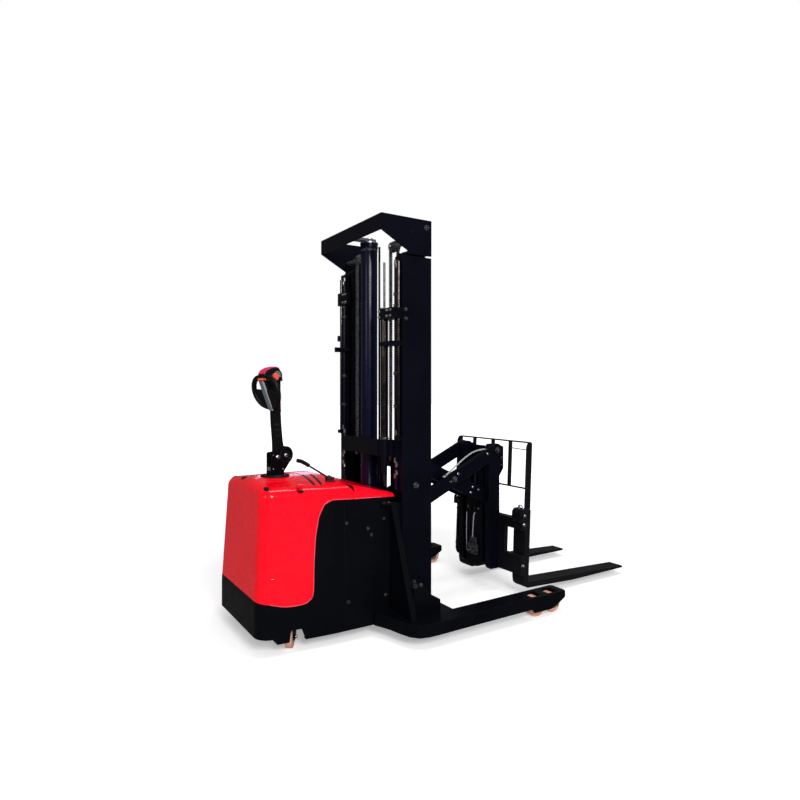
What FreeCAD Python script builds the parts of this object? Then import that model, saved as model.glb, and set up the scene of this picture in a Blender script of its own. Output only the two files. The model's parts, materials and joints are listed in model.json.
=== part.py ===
import FreeCAD, Part
import math
import os
from FreeCAD import Vector as V

# Pedestrian reach truck: millimetres, +X forward along the forks, +Y left, +Z up, floor at z = 0.
# Every x below is counted from the rear face of the mast; save() shifts it to the frame's origin.

# ---- driving dimensions ----
REAR_X = -745.0           # rear face of the truck
MAST_DEPTH = 180.0        # outer channel, front to back
MAST_HALF = 342.0         # half width over the outer channels
MAST_FOOT_Z = 60.0
HAT_TOP_Z = 2096.0
HAT_RISE = 194.0          # top of the hat above the outer channels
MAST_TOP_Z = HAT_TOP_Z - HAT_RISE
RAIL_TOP_Z = MAST_TOP_Z + 8.0    # inner channels
HAT_DEEP = 80.0           # height of the hat's beam
BARREL_TOP_Z = HAT_TOP_Z - 76.0  # lift cylinder, closed by its gland
ROD_TOP_Z = HAT_TOP_Z - 62.0     # shoulder under the rod's head
SEAT_Z = 176.0            # seat of the lift cylinder

BODY_HALF = 340.0         # half width of the chassis beside the mast
BODY_FRONT_X = -82.0
BODY_FLOOR_Z = 52.0
SIDE_TOP_Z = 683.0        # upper edge of the black side plates
HOOD_TOP_Z = 778.0        # crown of the hood on the centre plane
COVER_TOP_Z = 748.0       # battery cover where it meets the hood, and at its front edge
COVER_LOW_Z = 688.0
COVER_FRONT_X = -30.0
CROWN_R = 1460.0
SIDE_DRAW = 26.0          # how far the sides and the rear face draw in by the hood's top
REAR_LEAN = 31.0
HOOD_LOW_Z = 214.0        # lowest edge of the red hood
HOOD_SEAM_X = -262.0      # hood behind it, battery cover in front of it
SHEET = 6.0
BULKHEAD_X = -412.0       # wall between the drive space and the battery
CASTER_TOP_Z = 140.0      # underside of the plates the casters swivel on

LEG_OUT = 622.0           # outer face of the outriggers
LEG_WIDE = 110.0
LEG_IN = LEG_OUT - LEG_WIDE
LEG_LOW_Z = 55.0
LEG_TOP_Z = 115.0
LEG_TIP_X = 886.0
LOAD_WHEEL_R = 50.0
LOAD_WHEEL_W = 64.0
LOAD_WHEEL_X = (700.0, 820.0)
WHEEL_Y = LEG_OUT - 60.0

TURRET_X = -549.0
STEER_TURN = 16.0         # degrees the steering stands turned after parking
TILLER_X = TURRET_X + 3.0 # tiller joint, before the steering is turned
TILLER_Z = 874.0
DRIVE_WHEEL_R = 115.0
DRIVE_WHEEL_W = 70.0
CASTER_X = -549.0
CASTER_Y = 215.0
CASTER_TRAIL = 34.0
CASTER_R = 50.0
CASTER_TURN = 57.0        # degrees the casters stand turned after parking

PIVOT_TOP_Z = 850.0       # fixed upper pivots of the pantograph
PIVOT_REAR_X = 142.0
ARM_REACH = 324.0         # half of the horizontal distance between the pivots, reach out
ARM_DROP = 149.91         # half of the height between them
ARM_HALF = math.hypot(ARM_REACH, ARM_DROP)   # half length of a pantograph arm
ARM_WIDE = 80.0
ARM_THICK = 20.0
OUTER_ARM_Y = 150.0       # inner face of the centre-hung arms
INNER_ARM_Y = 83.0        # inner face of the rear-hung arms
RAIL_IN = 109.0           # upright guides of the pantograph, inner and outer face
RAIL_OUT = 145.0
RAIL_DEPTH = 84.0
RAIL_FOOT_Z = 130.0
ROLLER_R = 22.0
CENTRE_X = PIVOT_REAR_X + ARM_REACH
CENTRE_Z = PIVOT_TOP_Z - ARM_DROP
FRONT_X = PIVOT_REAR_X + 2 * ARM_REACH
LOW_Z = PIVOT_TOP_Z - 2 * ARM_DROP
PIN_R = 17.0
RUN_GAP = 0.3             # running clearance round a pin

FORK_TILT = 2.5           # degrees, tips down
FORK_LONG = 850.0
FORK_WIDE = 100.0
FORK_THICK = 35.0
FORK_MIDDLE = (207.0, -304.0)    # middles of the two blades: each is set by hand along the carriage
CARRIAGE_LEFT = 268.0     # the fork carriage stands shifted to the right of the centre plane
CARRIAGE_RIGHT = 352.0
FORK_FACE_X = FRONT_X + 94.0     # load face of the shanks
FORK_TOP_Z = 93.0
FORK_HEAD_Z = 512.0
GUARD_LEFT = 305.0
GUARD_TOP_Z = 908.0
GUARD_POST = 8.0          # width of the load guard's posts
GUARD_BARS = (160.0, -20.0, -178.0)   # middles of its bars, clear of the reach frame's ears
TILT_X = FRONT_X + 66.0   # pins the fork carriage leans on
TILT_Z = 430.0
LEAN = math.radians(FORK_TILT)
FORK_TIP_X = (TILT_X + (FORK_FACE_X + FORK_LONG - TILT_X) * math.cos(LEAN)
              + (FORK_TOP_Z - TILT_Z) * math.sin(LEAN))
ORIGIN_X = (REAR_X + FORK_TIP_X) / 2

PLACE = V(-ORIGIN_X, 0, 0)

CARRIAGE_X = 84.0         # rear face of the lift carriage's back plate
CARRIAGE_TOP_Z = 892.0
SHEAVE_X = 49.0           # chain sheaves in the head of the inner mast
SHEAVE_Z = HAT_TOP_Z - 118.0
SHEAVE_R = 23.0
CHAIN_Y = 186.0
TUBE_X = -40.0            # chromed tubes and thin rods that stand behind the channels
TUBE_Y = 230.0
SLIM_X = -12.0
SLIM_RIGHT = 325.0
SLIM_LEFT = 314.0
BRACKET_Z = MAST_TOP_Z - 325.0
PIPE_R = 6.0
PIPE_Y = (283.0, 296.0)   # hydraulic lines side by side on a rear flange
CHAIN_W = 20.0
CHAIN_T = 14.0
CHAIN_FIX_Z = 880.0       # rear run ends on the waist strap, front run on the lift carriage
CHAIN_END_Z = 500.0
RAIL_WALL = 8.0
WING_IN = 150.0           # the fork carriage passes outside the reach frame's guides

EYE_ARM = 80.0            # rod eye of the reach cylinders, along the rear-hung arm
EYE_SLACK_R = 19.0        # the cranks' holes leave the rods' pins room to wander
EYE_X = PIVOT_REAR_X + EYE_ARM * ARM_REACH / ARM_HALF
EYE_Z = PIVOT_TOP_Z - EYE_ARM * ARM_DROP / ARM_HALF
BARREL_X = 150.0          # lower pin of the reach cylinders
BARREL_Z = 400.0
REACH_CYL_Y = 40.0


# ---- helpers ----
def box(x0, x1, y0, y1, z0, z1):
    return Part.makeBox(x1 - x0, y1 - y0, z1 - z0, V(x0, y0, z0))


def rod(x, y, z, r, long, axis):
    """Cylinder starting at x, y, z along axis."""
    return Part.makeCylinder(r, long, V(x, y, z), axis)


def rod_y(x, z, r, y0, y1):
    return rod(x, y0, z, r, y1 - y0, V(0, 1, 0))


def rod_z(x, y, r, z0, z1):
    return rod(x, y, z0, r, z1 - z0, V(0, 0, 1))


def plate_xz(points, y0, y1):
    wire = Part.makePolygon([V(x, y0, z) for x, z in points + points[:1]])
    return Part.Face(wire).extrude(V(0, y1 - y0, 0))


def plate_xy(points, z0, z1):
    wire = Part.makePolygon([V(x, y, z0) for x, y in points + points[:1]])
    return Part.Face(wire).extrude(V(0, 0, z1 - z0))


def plate_yz(points, x0, x1):
    wire = Part.makePolygon([V(x0, y, z) for y, z in points + points[:1]])
    return Part.Face(wire).extrude(V(x1 - x0, 0, 0))


def fuse(shapes):
    whole = shapes[0]
    for shape in shapes[1:]:
        whole = whole.fuse(shape)
    return whole.removeSplitter()


def cut(shape, tools):
    for tool in tools:
        shape = shape.cut(tool)
    return shape


def mirrored(shape):
    """The same shape on the other side of the centre plane."""
    return shape.mirror(V(0, 0, 0), V(0, 1, 0))


def link(x0, z0, x1, z1, wide, y0, y1):
    """Flat bar with round ends from one pivot to the other."""
    long = math.hypot(x1 - x0, z1 - z0)
    angle = math.degrees(math.atan2(z1 - z0, x1 - x0))
    bar = fuse([
        box(0, long, y0, y1, -wide / 2, wide / 2),
        rod_y(0, 0, wide / 2, y0, y1),
        rod_y(long, 0, wide / 2, y0, y1),
    ])
    bar.rotate(V(0, 0, 0), V(0, -1, 0), angle)
    bar.translate(V(x0, 0, z0))
    return bar


def frustum(low, high, z0, z1):
    """Solid with flat sides between two outlines whose edges run parallel in pairs."""
    bottom = [V(x, y, z0) for x, y in low]
    top = [V(x, y, z1) for x, y in high]
    faces = [Part.Face(Part.makePolygon(ring + ring[:1])) for ring in (bottom[::-1], top)]
    for i in range(len(low)):
        j = (i + 1) % len(low)
        side = [bottom[i], bottom[j], top[j], top[i], bottom[i]]
        faces.append(Part.Face(Part.makePolygon(side)))
    solid = Part.Solid(Part.Shell(faces))
    if solid.Volume < 0:
        solid.reverse()
    return solid


def tilted(shape):
    """Fork carriage parts are drawn level and leaned forward about the tilt pins."""
    shape = shape.copy()
    shape.rotate(V(TILT_X, 0, TILT_Z), V(0, 1, 0), FORK_TILT)
    return shape


def save(name, shape):
    shape = shape.copy()
    shape.translate(PLACE)
    if not shape.isValid():
        print("not valid:", name)
    shape.exportStep(f"parts/{name}.step")
    box_ = shape.BoundBox
    count = len(shape.Solids)
    print(f"{name:24s} solids {count:2d}  x {box_.XMin:8.1f} {box_.XMax:8.1f}"
          f"  y {box_.YMin:7.1f} {box_.YMax:7.1f}  z {box_.ZMin:7.1f} {box_.ZMax:7.1f}")


# ---- chassis ----
def plan(draw, rear, front):
    """Outline of the body from above: it narrows to the rear."""
    taper = 0.093
    half = [(front, BODY_HALF), (-380.0, 334.0), (rear, 334.0 - taper * (-380.0 - rear))]
    right = [(x, -(y - draw)) for x, y in half]
    left = [(x, y - draw) for x, y in reversed(half)]
    return right + left


def body_form(inset, front):
    """Form of the bodywork drawn in by inset: it leans in upwards, has round corners and a crowned roof."""
    rear = REAR_X + inset
    low = plan(inset, rear, front)
    high = plan(inset + SIDE_DRAW, rear + REAR_LEAN, front)
    wires = [Part.makePolygon([V(x, y, z) for x, y in ring + ring[:1]])
             for ring, z in ((low, BODY_FLOOR_Z), (low, HOOD_LOW_Z), (high, HOOD_TOP_Z + 10))]
    form = Part.makeLoft(wires, True, True)
    corners = [e for e in form.Edges
               if max(v.X for v in e.Vertexes) < REAR_X + 50 and abs(e.Vertexes[0].Z - e.Vertexes[-1].Z) > 50]
    form = form.makeFillet(60 - inset, corners)
    crown = rod(REAR_X - 100, 0, HOOD_TOP_Z - inset - CROWN_R, CROWN_R, 1000, V(1, 0, 0))
    bevel = [(-330, HOOD_TOP_Z + 1 - inset), (front + 1, COVER_TOP_Z - inset), (front + 1, HOOD_TOP_Z + 50),
             (-330, HOOD_TOP_Z + 50)]
    return cut(form.common(crown), [plate_xz(bevel, -400, 400)])


def soft_top(form, radius, low_z):
    """Rounds the long upper edges of the bodywork."""
    edges = [e for e in form.Edges if min(v.Z for v in e.Vertexes) > low_z
             and (min(abs(v.Y) for v in e.Vertexes) > 150 or max(v.X for v in e.Vertexes) < REAR_X + 140)
             and abs(e.BoundBox.YLength) < 600]
    return form.makeFillet(radius, edges)


def side_edge(x):
    """Height of the side plates' upper edge ahead of the hood's corner."""
    return SIDE_TOP_Z - 12 * (x + 380) / (BODY_FRONT_X + 20 + 380)


def hood_limit():
    """Side view of what lies above the black plates at the rear."""
    return [
        (REAR_X - 50, 258), (-690, 236), (-620, 216), (-540, HOOD_LOW_Z), (-500, 228),
        (-482, 262), (-476, 400), (-466, 520), (-448, 610), (-420, 665), (-380, SIDE_TOP_Z),
        (BODY_FRONT_X + 20, side_edge(BODY_FRONT_X + 20)), (BODY_FRONT_X + 20, 1000), (REAR_X - 50, 1000),
    ]


def chassis():
    """Black lower body: floor, side plates, drive-wheel and caster wells, battery bulkhead."""
    shell = body_form(0, BODY_FRONT_X)
    hollow = body_form(SHEET, BODY_FRONT_X - SHEET).common(box(-900, 0, -400, 400, BODY_FLOOR_Z + 10, 900))
    shell = cut(shell, [hollow, plate_xz(hood_limit(), -400, 400)])
    rear_skirt = plate_xz([(-760, 0), (-760, 84), (-660, 76), (-646, 0)], -400, 400)
    drive_hole = rod_z(TURRET_X, 0, 140, 0, 100)
    sweep = CASTER_TRAIL + CASTER_R + 8
    wells = [rod_z(CASTER_X, y, sweep, 0, 100) for y in (CASTER_Y, -CASTER_Y)]
    arch = plate_xz([(-604, 0), (-592, 106), (-540, 104), (-500, 0)], -400, 400)
    arch = cut(arch, [box(-700, -400, -CASTER_Y, CASTER_Y, -10, 200)])
    shell = cut(shell, [rear_skirt, drive_hole, arch] + wells)
    beam = box(-650, BULKHEAD_X + 2, -141, -129, 105, 301)
    deck = box(-660, BULKHEAD_X, -141, 141, 300, 310)
    bearing = rod_z(TURRET_X, 0, 90, 262.3, 301)
    deck = cut(deck.fuse(bearing), [rod_z(TURRET_X, 0, 62, 250, 350)])
    caster_deck = box(-620, BULKHEAD_X + 2, 130, 286, CASTER_TOP_Z, CASTER_TOP_Z + 12)
    bulkhead = box(BULKHEAD_X, BULKHEAD_X + 10, -322, 322, 62, 400)
    mount = box(BODY_FRONT_X - 1, -0.3, 318, 330, LEG_TOP_Z + 0.3, 640)
    return fuse([shell, beam, mirrored(beam), deck, caster_deck, mirrored(caster_deck), bulkhead,
                 mount, mirrored(mount)])


def straddle_base():
    """Cross plate in front of the chassis that carries the mast and the outriggers."""
    half = [(BODY_FRONT_X, 0), (BODY_FRONT_X, 341), (-170, 341), (-172, 355), (-159, 386), (-138, 444),
            (-123, LEG_IN), (190, LEG_IN), (190, 380), (60, 346), (-12, 346), (-12, 0)]
    plate = plate_xy(half, LEG_LOW_Z, LEG_TOP_Z)
    return fuse([plate, mirrored(plate)])


def leg():
    """Outrigger: a box bar with a well for two wheels, open below and through two windows above."""
    outline = [(-123, LEG_IN), (-105, LEG_OUT - 52), (-74, LEG_OUT - 15), (-27, LEG_OUT - 2),
               (30, LEG_OUT), (LEG_TIP_X - 12, LEG_OUT),
               (LEG_TIP_X, LEG_OUT - 12), (LEG_TIP_X, LEG_IN + 12), (LEG_TIP_X - 12, LEG_IN)]
    bar = plate_xy(outline, LEG_LOW_Z, LEG_TOP_Z)
    x0, x1 = LOAD_WHEEL_X
    cheek_side = [(x0 - 60, LEG_LOW_Z + 5), (x0 - 46, 34), (x1 - 40, 34), (LEG_TIP_X - 52, LEG_LOW_Z),
                  (LEG_TIP_X - 4, LEG_LOW_Z + 25), (LEG_TIP_X - 4, LEG_TOP_Z - 1), (x0 - 60, LEG_TOP_Z - 1)]
    cheek = plate_xz(cheek_side, LEG_OUT - 14, LEG_OUT)
    inner_cheek = cheek.copy()
    inner_cheek.translate(V(0, LEG_IN + 14 - LEG_OUT, 0))
    chin = plate_xz([(LEG_TIP_X - 60, 0), (LEG_TIP_X - 60, LEG_LOW_Z - 4), (LEG_TIP_X + 1, LEG_LOW_Z + 27),
                     (LEG_TIP_X + 1, 0)], LEG_IN - 1, LEG_OUT + 1)
    bar = cut(bar, [chin])
    well = box(x0 - 58, LEG_TIP_X - 10, LEG_IN + 14, LEG_OUT - 14, 0, LEG_TOP_Z - 6)
    windows = [box(x - 54, x + 22, LEG_IN + 24, LEG_OUT - 16, 50, 200) for x in LOAD_WHEEL_X]
    bar = cut(fuse([bar, cheek, inner_cheek]), [well] + windows)
    axles = [rod_y(x, LOAD_WHEEL_R, 9.7, LEG_IN + 1, LEG_OUT - 1) for x in LOAD_WHEEL_X]
    return fuse([bar] + axles)


def foot():
    """Sleeve beside the mast that holds the outrigger."""
    side = [(-41, 115), (-41, 254), (28, 254), (62, 208), (116, 176), (119, 150), (119, 115)]
    block = plate_xz(side, MAST_HALF, LEG_IN - 5)
    return block


def gusset():
    """Upright plate with a sloped edge from the side of the mast down to the cross plate."""
    outline = [(344, LEG_TOP_Z), (LEG_IN + 28, LEG_TOP_Z), (352, 636), (344, 636)]
    plate = plate_yz(outline, -74, -64)
    flange = plate_yz([(LEG_IN + 10, LEG_TOP_Z), (LEG_IN + 33, LEG_TOP_Z), (358, 648), (344, 648), (344, 628),
                       (350, 628)], -78, -50)
    shelf = box(-130, -48, 341, 360, 640, 650)
    return fuse([plate, flange, shelf])


# ---- hood, cover, panels, battery ----
def hood():
    """Moulded hood over the drive unit, with a stepped ridge across its rear face."""
    outer = soft_top(body_form(0.5, HOOD_SEAM_X), 48, 640)
    inner = soft_top(body_form(SHEET + 0.5, HOOD_SEAM_X - SHEET), 42, 640)
    above = plate_xz(hood_limit(), -400, 400)
    above.translate(V(0, 0, 1))
    neck = rod_z(TURRET_X, 0, 62, 700, 800)
    return cut(outer.common(above), [inner, neck])


def cover_form(inset):
    """Form of the battery cover: sloped roof with rounded sides that carry on those of the hood."""
    rings = []
    for y in (322 - inset, 311 - inset):
        rings.append([(HOOD_SEAM_X + 0.5, -y), (COVER_FRONT_X - inset, -y), (COVER_FRONT_X - inset, y),
                      (HOOD_SEAM_X + 0.5, y)])
    side = [(HOOD_SEAM_X, 600), (HOOD_SEAM_X, COVER_TOP_Z - inset), (COVER_FRONT_X, COVER_LOW_Z - inset),
            (COVER_FRONT_X, 600)]
    form = frustum(rings[0], rings[1], 600, 800).common(plate_xz(side, -400, 400))
    upper = [e for e in form.Edges if min(v.Z for v in e.Vertexes) > 650 and e.BoundBox.XLength > 100]
    return form.makeFillet(34 - inset, upper)


def battery_cover():
    """Sheet cover over the battery, with a notch behind the lift cylinder."""
    seat = [(HOOD_SEAM_X - 1, 500), (HOOD_SEAM_X - 1, side_edge(HOOD_SEAM_X) + 0.3),
            (BODY_FRONT_X + 21, side_edge(BODY_FRONT_X) + 0.3), (1, side_edge(0)), (1, 500)]
    return cut(cover_form(1), [cover_form(SHEET + 1), plate_xz(seat, -400, 400), rod_z(0, 0, 56, 500, 800)])


def battery():
    return box(BULKHEAD_X + 14, -95, -300, 300, BODY_FLOOR_Z + 10.3, 640)


# ---- mast ----
def outer_mast():
    web = 14.0
    flange = 16.0
    tip = 270.0
    channel = fuse([
        box(0, MAST_DEPTH, MAST_HALF - web, MAST_HALF, MAST_FOOT_Z, MAST_TOP_Z),
        box(0, flange, tip, MAST_HALF, MAST_FOOT_Z, MAST_TOP_Z),
        box(MAST_DEPTH - flange, MAST_DEPTH, tip, MAST_HALF, MAST_FOOT_Z, MAST_TOP_Z),
    ])
    return channel


def outer_cross():
    """Bottom bridge, waist strap and bracket that tie the channels and hold the lift cylinder."""
    low = box(-12, 16, -269, 269, 116, SEAT_Z)
    seat = box(-60, 55, -60, 60, SEAT_Z - 14, SEAT_Z)
    z0, z1 = 868, 955
    strap = box(-62, -52, -199, 199, z0, z1)
    arm = plate_xy([(-62, 189), (-52, 189), (-3, 262), (-3, 300), (-10, 300), (-13, 266)], z0, z1)
    high = box(-3, 0, 271, 310, z0, z1)
    anchor = box(-53, SHEAVE_X - SHEAVE_R + 8, CHAIN_Y - 11, CHAIN_Y + 11, CHAIN_FIX_Z - 12, CHAIN_FIX_Z)
    boss = rod_z(TUBE_X, -TUBE_Y, 25, z0, z1)
    stub = rod_z(TUBE_X, -TUBE_Y, 15, COVER_TOP_Z + 22, z0 + 1)
    half = fuse([arm, high, anchor])
    return [fuse([low, seat]), fuse([strap, half, mirrored(half), boss, stub])]


def side_tubes():
    """Tube on the waist strap's right side, with a slim rod beside it and one on the left."""
    tube = rod_z(TUBE_X, -TUBE_Y, 20, 955, BRACKET_Z + 60)
    tube = tube.fuse(rod_z(TUBE_X, -TUBE_Y, 6, BRACKET_Z + 55, MAST_TOP_Z - 26))
    slim = [rod_z(SLIM_X, y, r, 962, MAST_TOP_Z - 32) for y, r in ((-SLIM_RIGHT, 9), (SLIM_LEFT, 8))]
    return Part.makeCompound([tube] + slim)


def tube_brackets():
    """Blocks and clamps on the channels' rear flanges that carry the tube and the slim rods."""
    right, left = -SLIM_RIGHT, SLIM_LEFT
    block = box(TUBE_X - 22, 0, right - 11, 25 - TUBE_Y, BRACKET_Z, BRACKET_Z + 55)
    low = BRACKET_Z - 137
    clamp = box(TUBE_X - 22, 0, right - 13, 23 - TUBE_Y, low, low + 22)
    seat = box(-24, 0, right - 11, -PIPE_Y[1] - 8, 956, 976)
    strip = box(-24, 0, 215, 338, low + 3, low + 20).fuse(box(-46, -10, 318, 336, low, low + 28))
    upper = box(-24, 0, 225, 338, MAST_TOP_Z - 186, MAST_TOP_Z - 112)
    knob = box(-22, 0, 322, 346, low + 65, low + 98)
    bores = [rod_z(TUBE_X, -TUBE_Y, 20 + RUN_GAP, low - 40, BRACKET_Z + 123)]
    bores += [rod_z(SLIM_X, y, r + RUN_GAP, 900, MAST_TOP_Z - 22) for y, r in ((right, 9), (left, 8))]
    bores += [rod_z(-PIPE_R - 0.1, side * y, PIPE_R + RUN_GAP, low - 40, MAST_TOP_Z - 12)
              for y in PIPE_Y for side in (1, -1)]
    seat_left = box(-24, 0, left - 12, 338, 956, 976)
    bores_low = [rod_z(SLIM_X, right, 9 + RUN_GAP, 900, 1000), rod_z(SLIM_X, left, 8 + RUN_GAP, 900, 1000)]
    high = [cut(solid, bores) for solid in (block, clamp, strip, upper, knob)]
    return Part.makeCompound(high + [cut(solid, bores_low) for solid in (seat, seat_left)])


def mast_pipes():
    """Thin hydraulic lines on the rear flanges, and one beside the lift cylinder."""
    runs = ((700, 866), (957, MAST_TOP_Z - 22))
    lines = [rod_z(-PIPE_R - 0.1, y, PIPE_R, z0, z1) for y in PIPE_Y for z0, z1 in runs]
    inner = rod_z(48, -31, 6, SEAT_Z, BARREL_TOP_Z - 12)
    return Part.makeCompound(lines + [mirrored(line) for line in lines] + [inner])


def lift_cylinder():
    barrel = rod_z(0, 0, 46, SEAT_Z, BARREL_TOP_Z)
    gland = rod_z(0, 0, 49, BARREL_TOP_Z - 24, BARREL_TOP_Z + 6)
    bore = rod_z(0, 0, 31, SEAT_Z + 14, BARREL_TOP_Z + 80)
    return cut(fuse([barrel, gland]), [bore])


def inner_rail():
    web = box(22, 158, 255, 267, 78, RAIL_TOP_Z)
    flanges = [box(x0, x0 + 14, 235, 322, 78, RAIL_TOP_Z) for x0 in (22, 144)]
    return fuse([web] + flanges)


def inner_tie():
    """Lower tie bar of the inner mast, ahead of the lift cylinder."""
    return box(60, 76, -255, 255, 78, 140)


def top_hat():
    low = HAT_TOP_Z - HAT_DEEP
    arm_side = [(-129, low), (-129, HAT_TOP_Z), (177, HAT_TOP_Z), (177, RAIL_TOP_Z + 2), (62, RAIL_TOP_Z + 2)]
    arm = plate_xz(arm_side, 336, 348)
    foot_ = box(30, 150, 236, 348, RAIL_TOP_Z, RAIL_TOP_Z + 14)
    beam = box(-129, -119, -348, 348, low, HAT_TOP_Z)
    return fuse([arm, mirrored(arm), foot_, mirrored(foot_), beam])


def lift_rod():
    stem = rod_z(0, 0, 30.6, SEAT_Z + 24, ROD_TOP_Z)
    head = box(-119, 30, -25, 25, ROD_TOP_Z, ROD_TOP_Z + 14)
    return fuse([stem, head])


def sheave():
    wheel = rod_y(SHEAVE_X, SHEAVE_Z, SHEAVE_R - CHAIN_T / 2, CHAIN_Y - 12, CHAIN_Y + 12)
    rims = [rod_y(SHEAVE_X, SHEAVE_Z, SHEAVE_R + 6, CHAIN_Y - 17, CHAIN_Y - 12),
            rod_y(SHEAVE_X, SHEAVE_Z, SHEAVE_R + 6, CHAIN_Y + 12, CHAIN_Y + 17)]
    axle = rod_y(SHEAVE_X, SHEAVE_Z, 12, CHAIN_Y - 20, 336)
    return fuse([wheel, axle] + rims)


def chain(x, z0):
    return box(x - CHAIN_T / 2, x + CHAIN_T / 2, CHAIN_Y - CHAIN_W / 2, CHAIN_Y + CHAIN_W / 2, z0, SHEAVE_Z)


# ---- lift carriage and pantograph ----
def guide(x, top_z, open_out):
    """Upright channel that guides a roller at x, open to the outside or to the inside."""
    half = RAIL_DEPTH / 2
    web_y = RAIL_IN if open_out else RAIL_OUT - RAIL_WALL
    web = box(x - half, x + half, web_y, web_y + RAIL_WALL, RAIL_FOOT_Z, top_z)
    rear = box(x - half, x - ROLLER_R - 5, RAIL_IN, RAIL_OUT, RAIL_FOOT_Z, top_z)
    front = box(x + ROLLER_R + 5, x + half, RAIL_IN, RAIL_OUT, RAIL_FOOT_Z, top_z)
    stop = box(x - half, x + half, RAIL_IN, RAIL_OUT, RAIL_FOOT_Z, RAIL_FOOT_Z + 5)
    return fuse([web, rear, front, stop])


def lift_carriage():
    rail = guide(PIVOT_REAR_X, 800, True)
    ear = box(PIVOT_REAR_X - 42, PIVOT_REAR_X + 42, RAIL_IN, RAIL_OUT, 790, CARRIAGE_TOP_Z)
    pin = rod_y(PIVOT_REAR_X, PIVOT_TOP_Z, PIN_R, INNER_ARM_Y + 2, RAIL_IN + 1)
    plate = box(CARRIAGE_X, CARRIAGE_X + 12, RAIL_IN - 20, 229, RAIL_FOOT_Z, CARRIAGE_TOP_Z)
    joint = box(CARRIAGE_X, PIVOT_REAR_X - 41, RAIL_IN, RAIL_OUT, RAIL_FOOT_Z, CARRIAGE_TOP_Z)
    shoe = box(50, 130, 219, 229, 150, 500)
    rollers = [rod_y(90, z, 49, 228, 249) for z in (205, 440)]
    anchor = box(62, CARRIAGE_X + 1, CHAIN_Y - 12, CHAIN_Y + 12, CHAIN_END_Z - 16, CHAIN_END_Z)
    half = fuse([rail, ear, pin, plate, joint, shoe, anchor] + rollers)
    cross = [box(CARRIAGE_X, CARRIAGE_X + 12, -100, 100, z0, z1)
             for z0, z1 in ((RAIL_FOOT_Z, 230), (BARREL_Z - 50, BARREL_Z + 50), (790, CARRIAGE_TOP_Z))]
    lugs = []
    for y in (REACH_CYL_Y, -REACH_CYL_Y):
        for y0 in (y - 31, y + 24):
            lugs.append(box(CARRIAGE_X + 11, BARREL_X + 14, y0, y0 + 7, BARREL_Z - 16, BARREL_Z + 16))
        lugs.append(rod_y(BARREL_X, BARREL_Z, 8, y - 28, y + 28))
    return fuse([half, mirrored(half)] + cross + lugs)


def rear_arms():
    """Arms hung from the lift carriage, down to the foot of the reach frame."""
    y0, y1 = INNER_ARM_Y, INNER_ARM_Y + ARM_THICK
    bar = link(PIVOT_REAR_X, PIVOT_TOP_Z, FRONT_X, LOW_Z, ARM_WIDE, y0, y1)
    bar = cut(bar, [rod_y(PIVOT_REAR_X, PIVOT_TOP_Z, PIN_R + RUN_GAP, y0 - 1, y1 + 1)])
    centre = rod_y(CENTRE_X, CENTRE_Z, PIN_R, y1 - 1, OUTER_ARM_Y + ARM_THICK + 4)
    roller = rod_y(FRONT_X, LOW_Z, ROLLER_R, RAIL_IN + 2, RAIL_OUT - RAIL_WALL - 2)
    stub = rod_y(FRONT_X, LOW_Z, 14, y1 - 1, RAIL_IN + 3)
    half = fuse([bar, centre, roller, stub])
    tubes = [rod_y(CENTRE_X, CENTRE_Z, 24, -y0 - 1, y0 + 1),
             rod_y(PIVOT_REAR_X, PIVOT_TOP_Z, 24, -y0 - 1, y0 + 1)]
    cranks = []
    for y in (REACH_CYL_Y, -REACH_CYL_Y):
        for y0 in (y - 24, y + 14):
            crank = link(PIVOT_REAR_X, PIVOT_TOP_Z, EYE_X, EYE_Z, 56, y0, y0 + 10)
            cranks.append(cut(crank, [rod_y(EYE_X, EYE_Z, EYE_SLACK_R, y0 - 1, y0 + 11)]))
    return fuse([half, mirrored(half)] + tubes + cranks)


def centre_arm():
    """Arm hung on the middle pins, from the foot of the lift carriage up to the reach frame."""
    y0, y1 = OUTER_ARM_Y, OUTER_ARM_Y + ARM_THICK
    bar = link(PIVOT_REAR_X, LOW_Z, FRONT_X, PIVOT_TOP_Z, ARM_WIDE, y0, y1)
    holes = [rod_y(CENTRE_X, CENTRE_Z, PIN_R + RUN_GAP, y0 - 1, y1 + 1),
             rod_y(FRONT_X, PIVOT_TOP_Z, PIN_R + RUN_GAP, y0 - 1, y1 + 1)]
    bar = cut(bar, holes)
    roller = rod_y(PIVOT_REAR_X, LOW_Z, ROLLER_R, RAIL_IN + RAIL_WALL + 2, RAIL_OUT - 2)
    stub = rod_y(PIVOT_REAR_X, LOW_Z, 14, RAIL_OUT - 3, y0 + 1)
    return fuse([bar, roller, stub])


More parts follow.
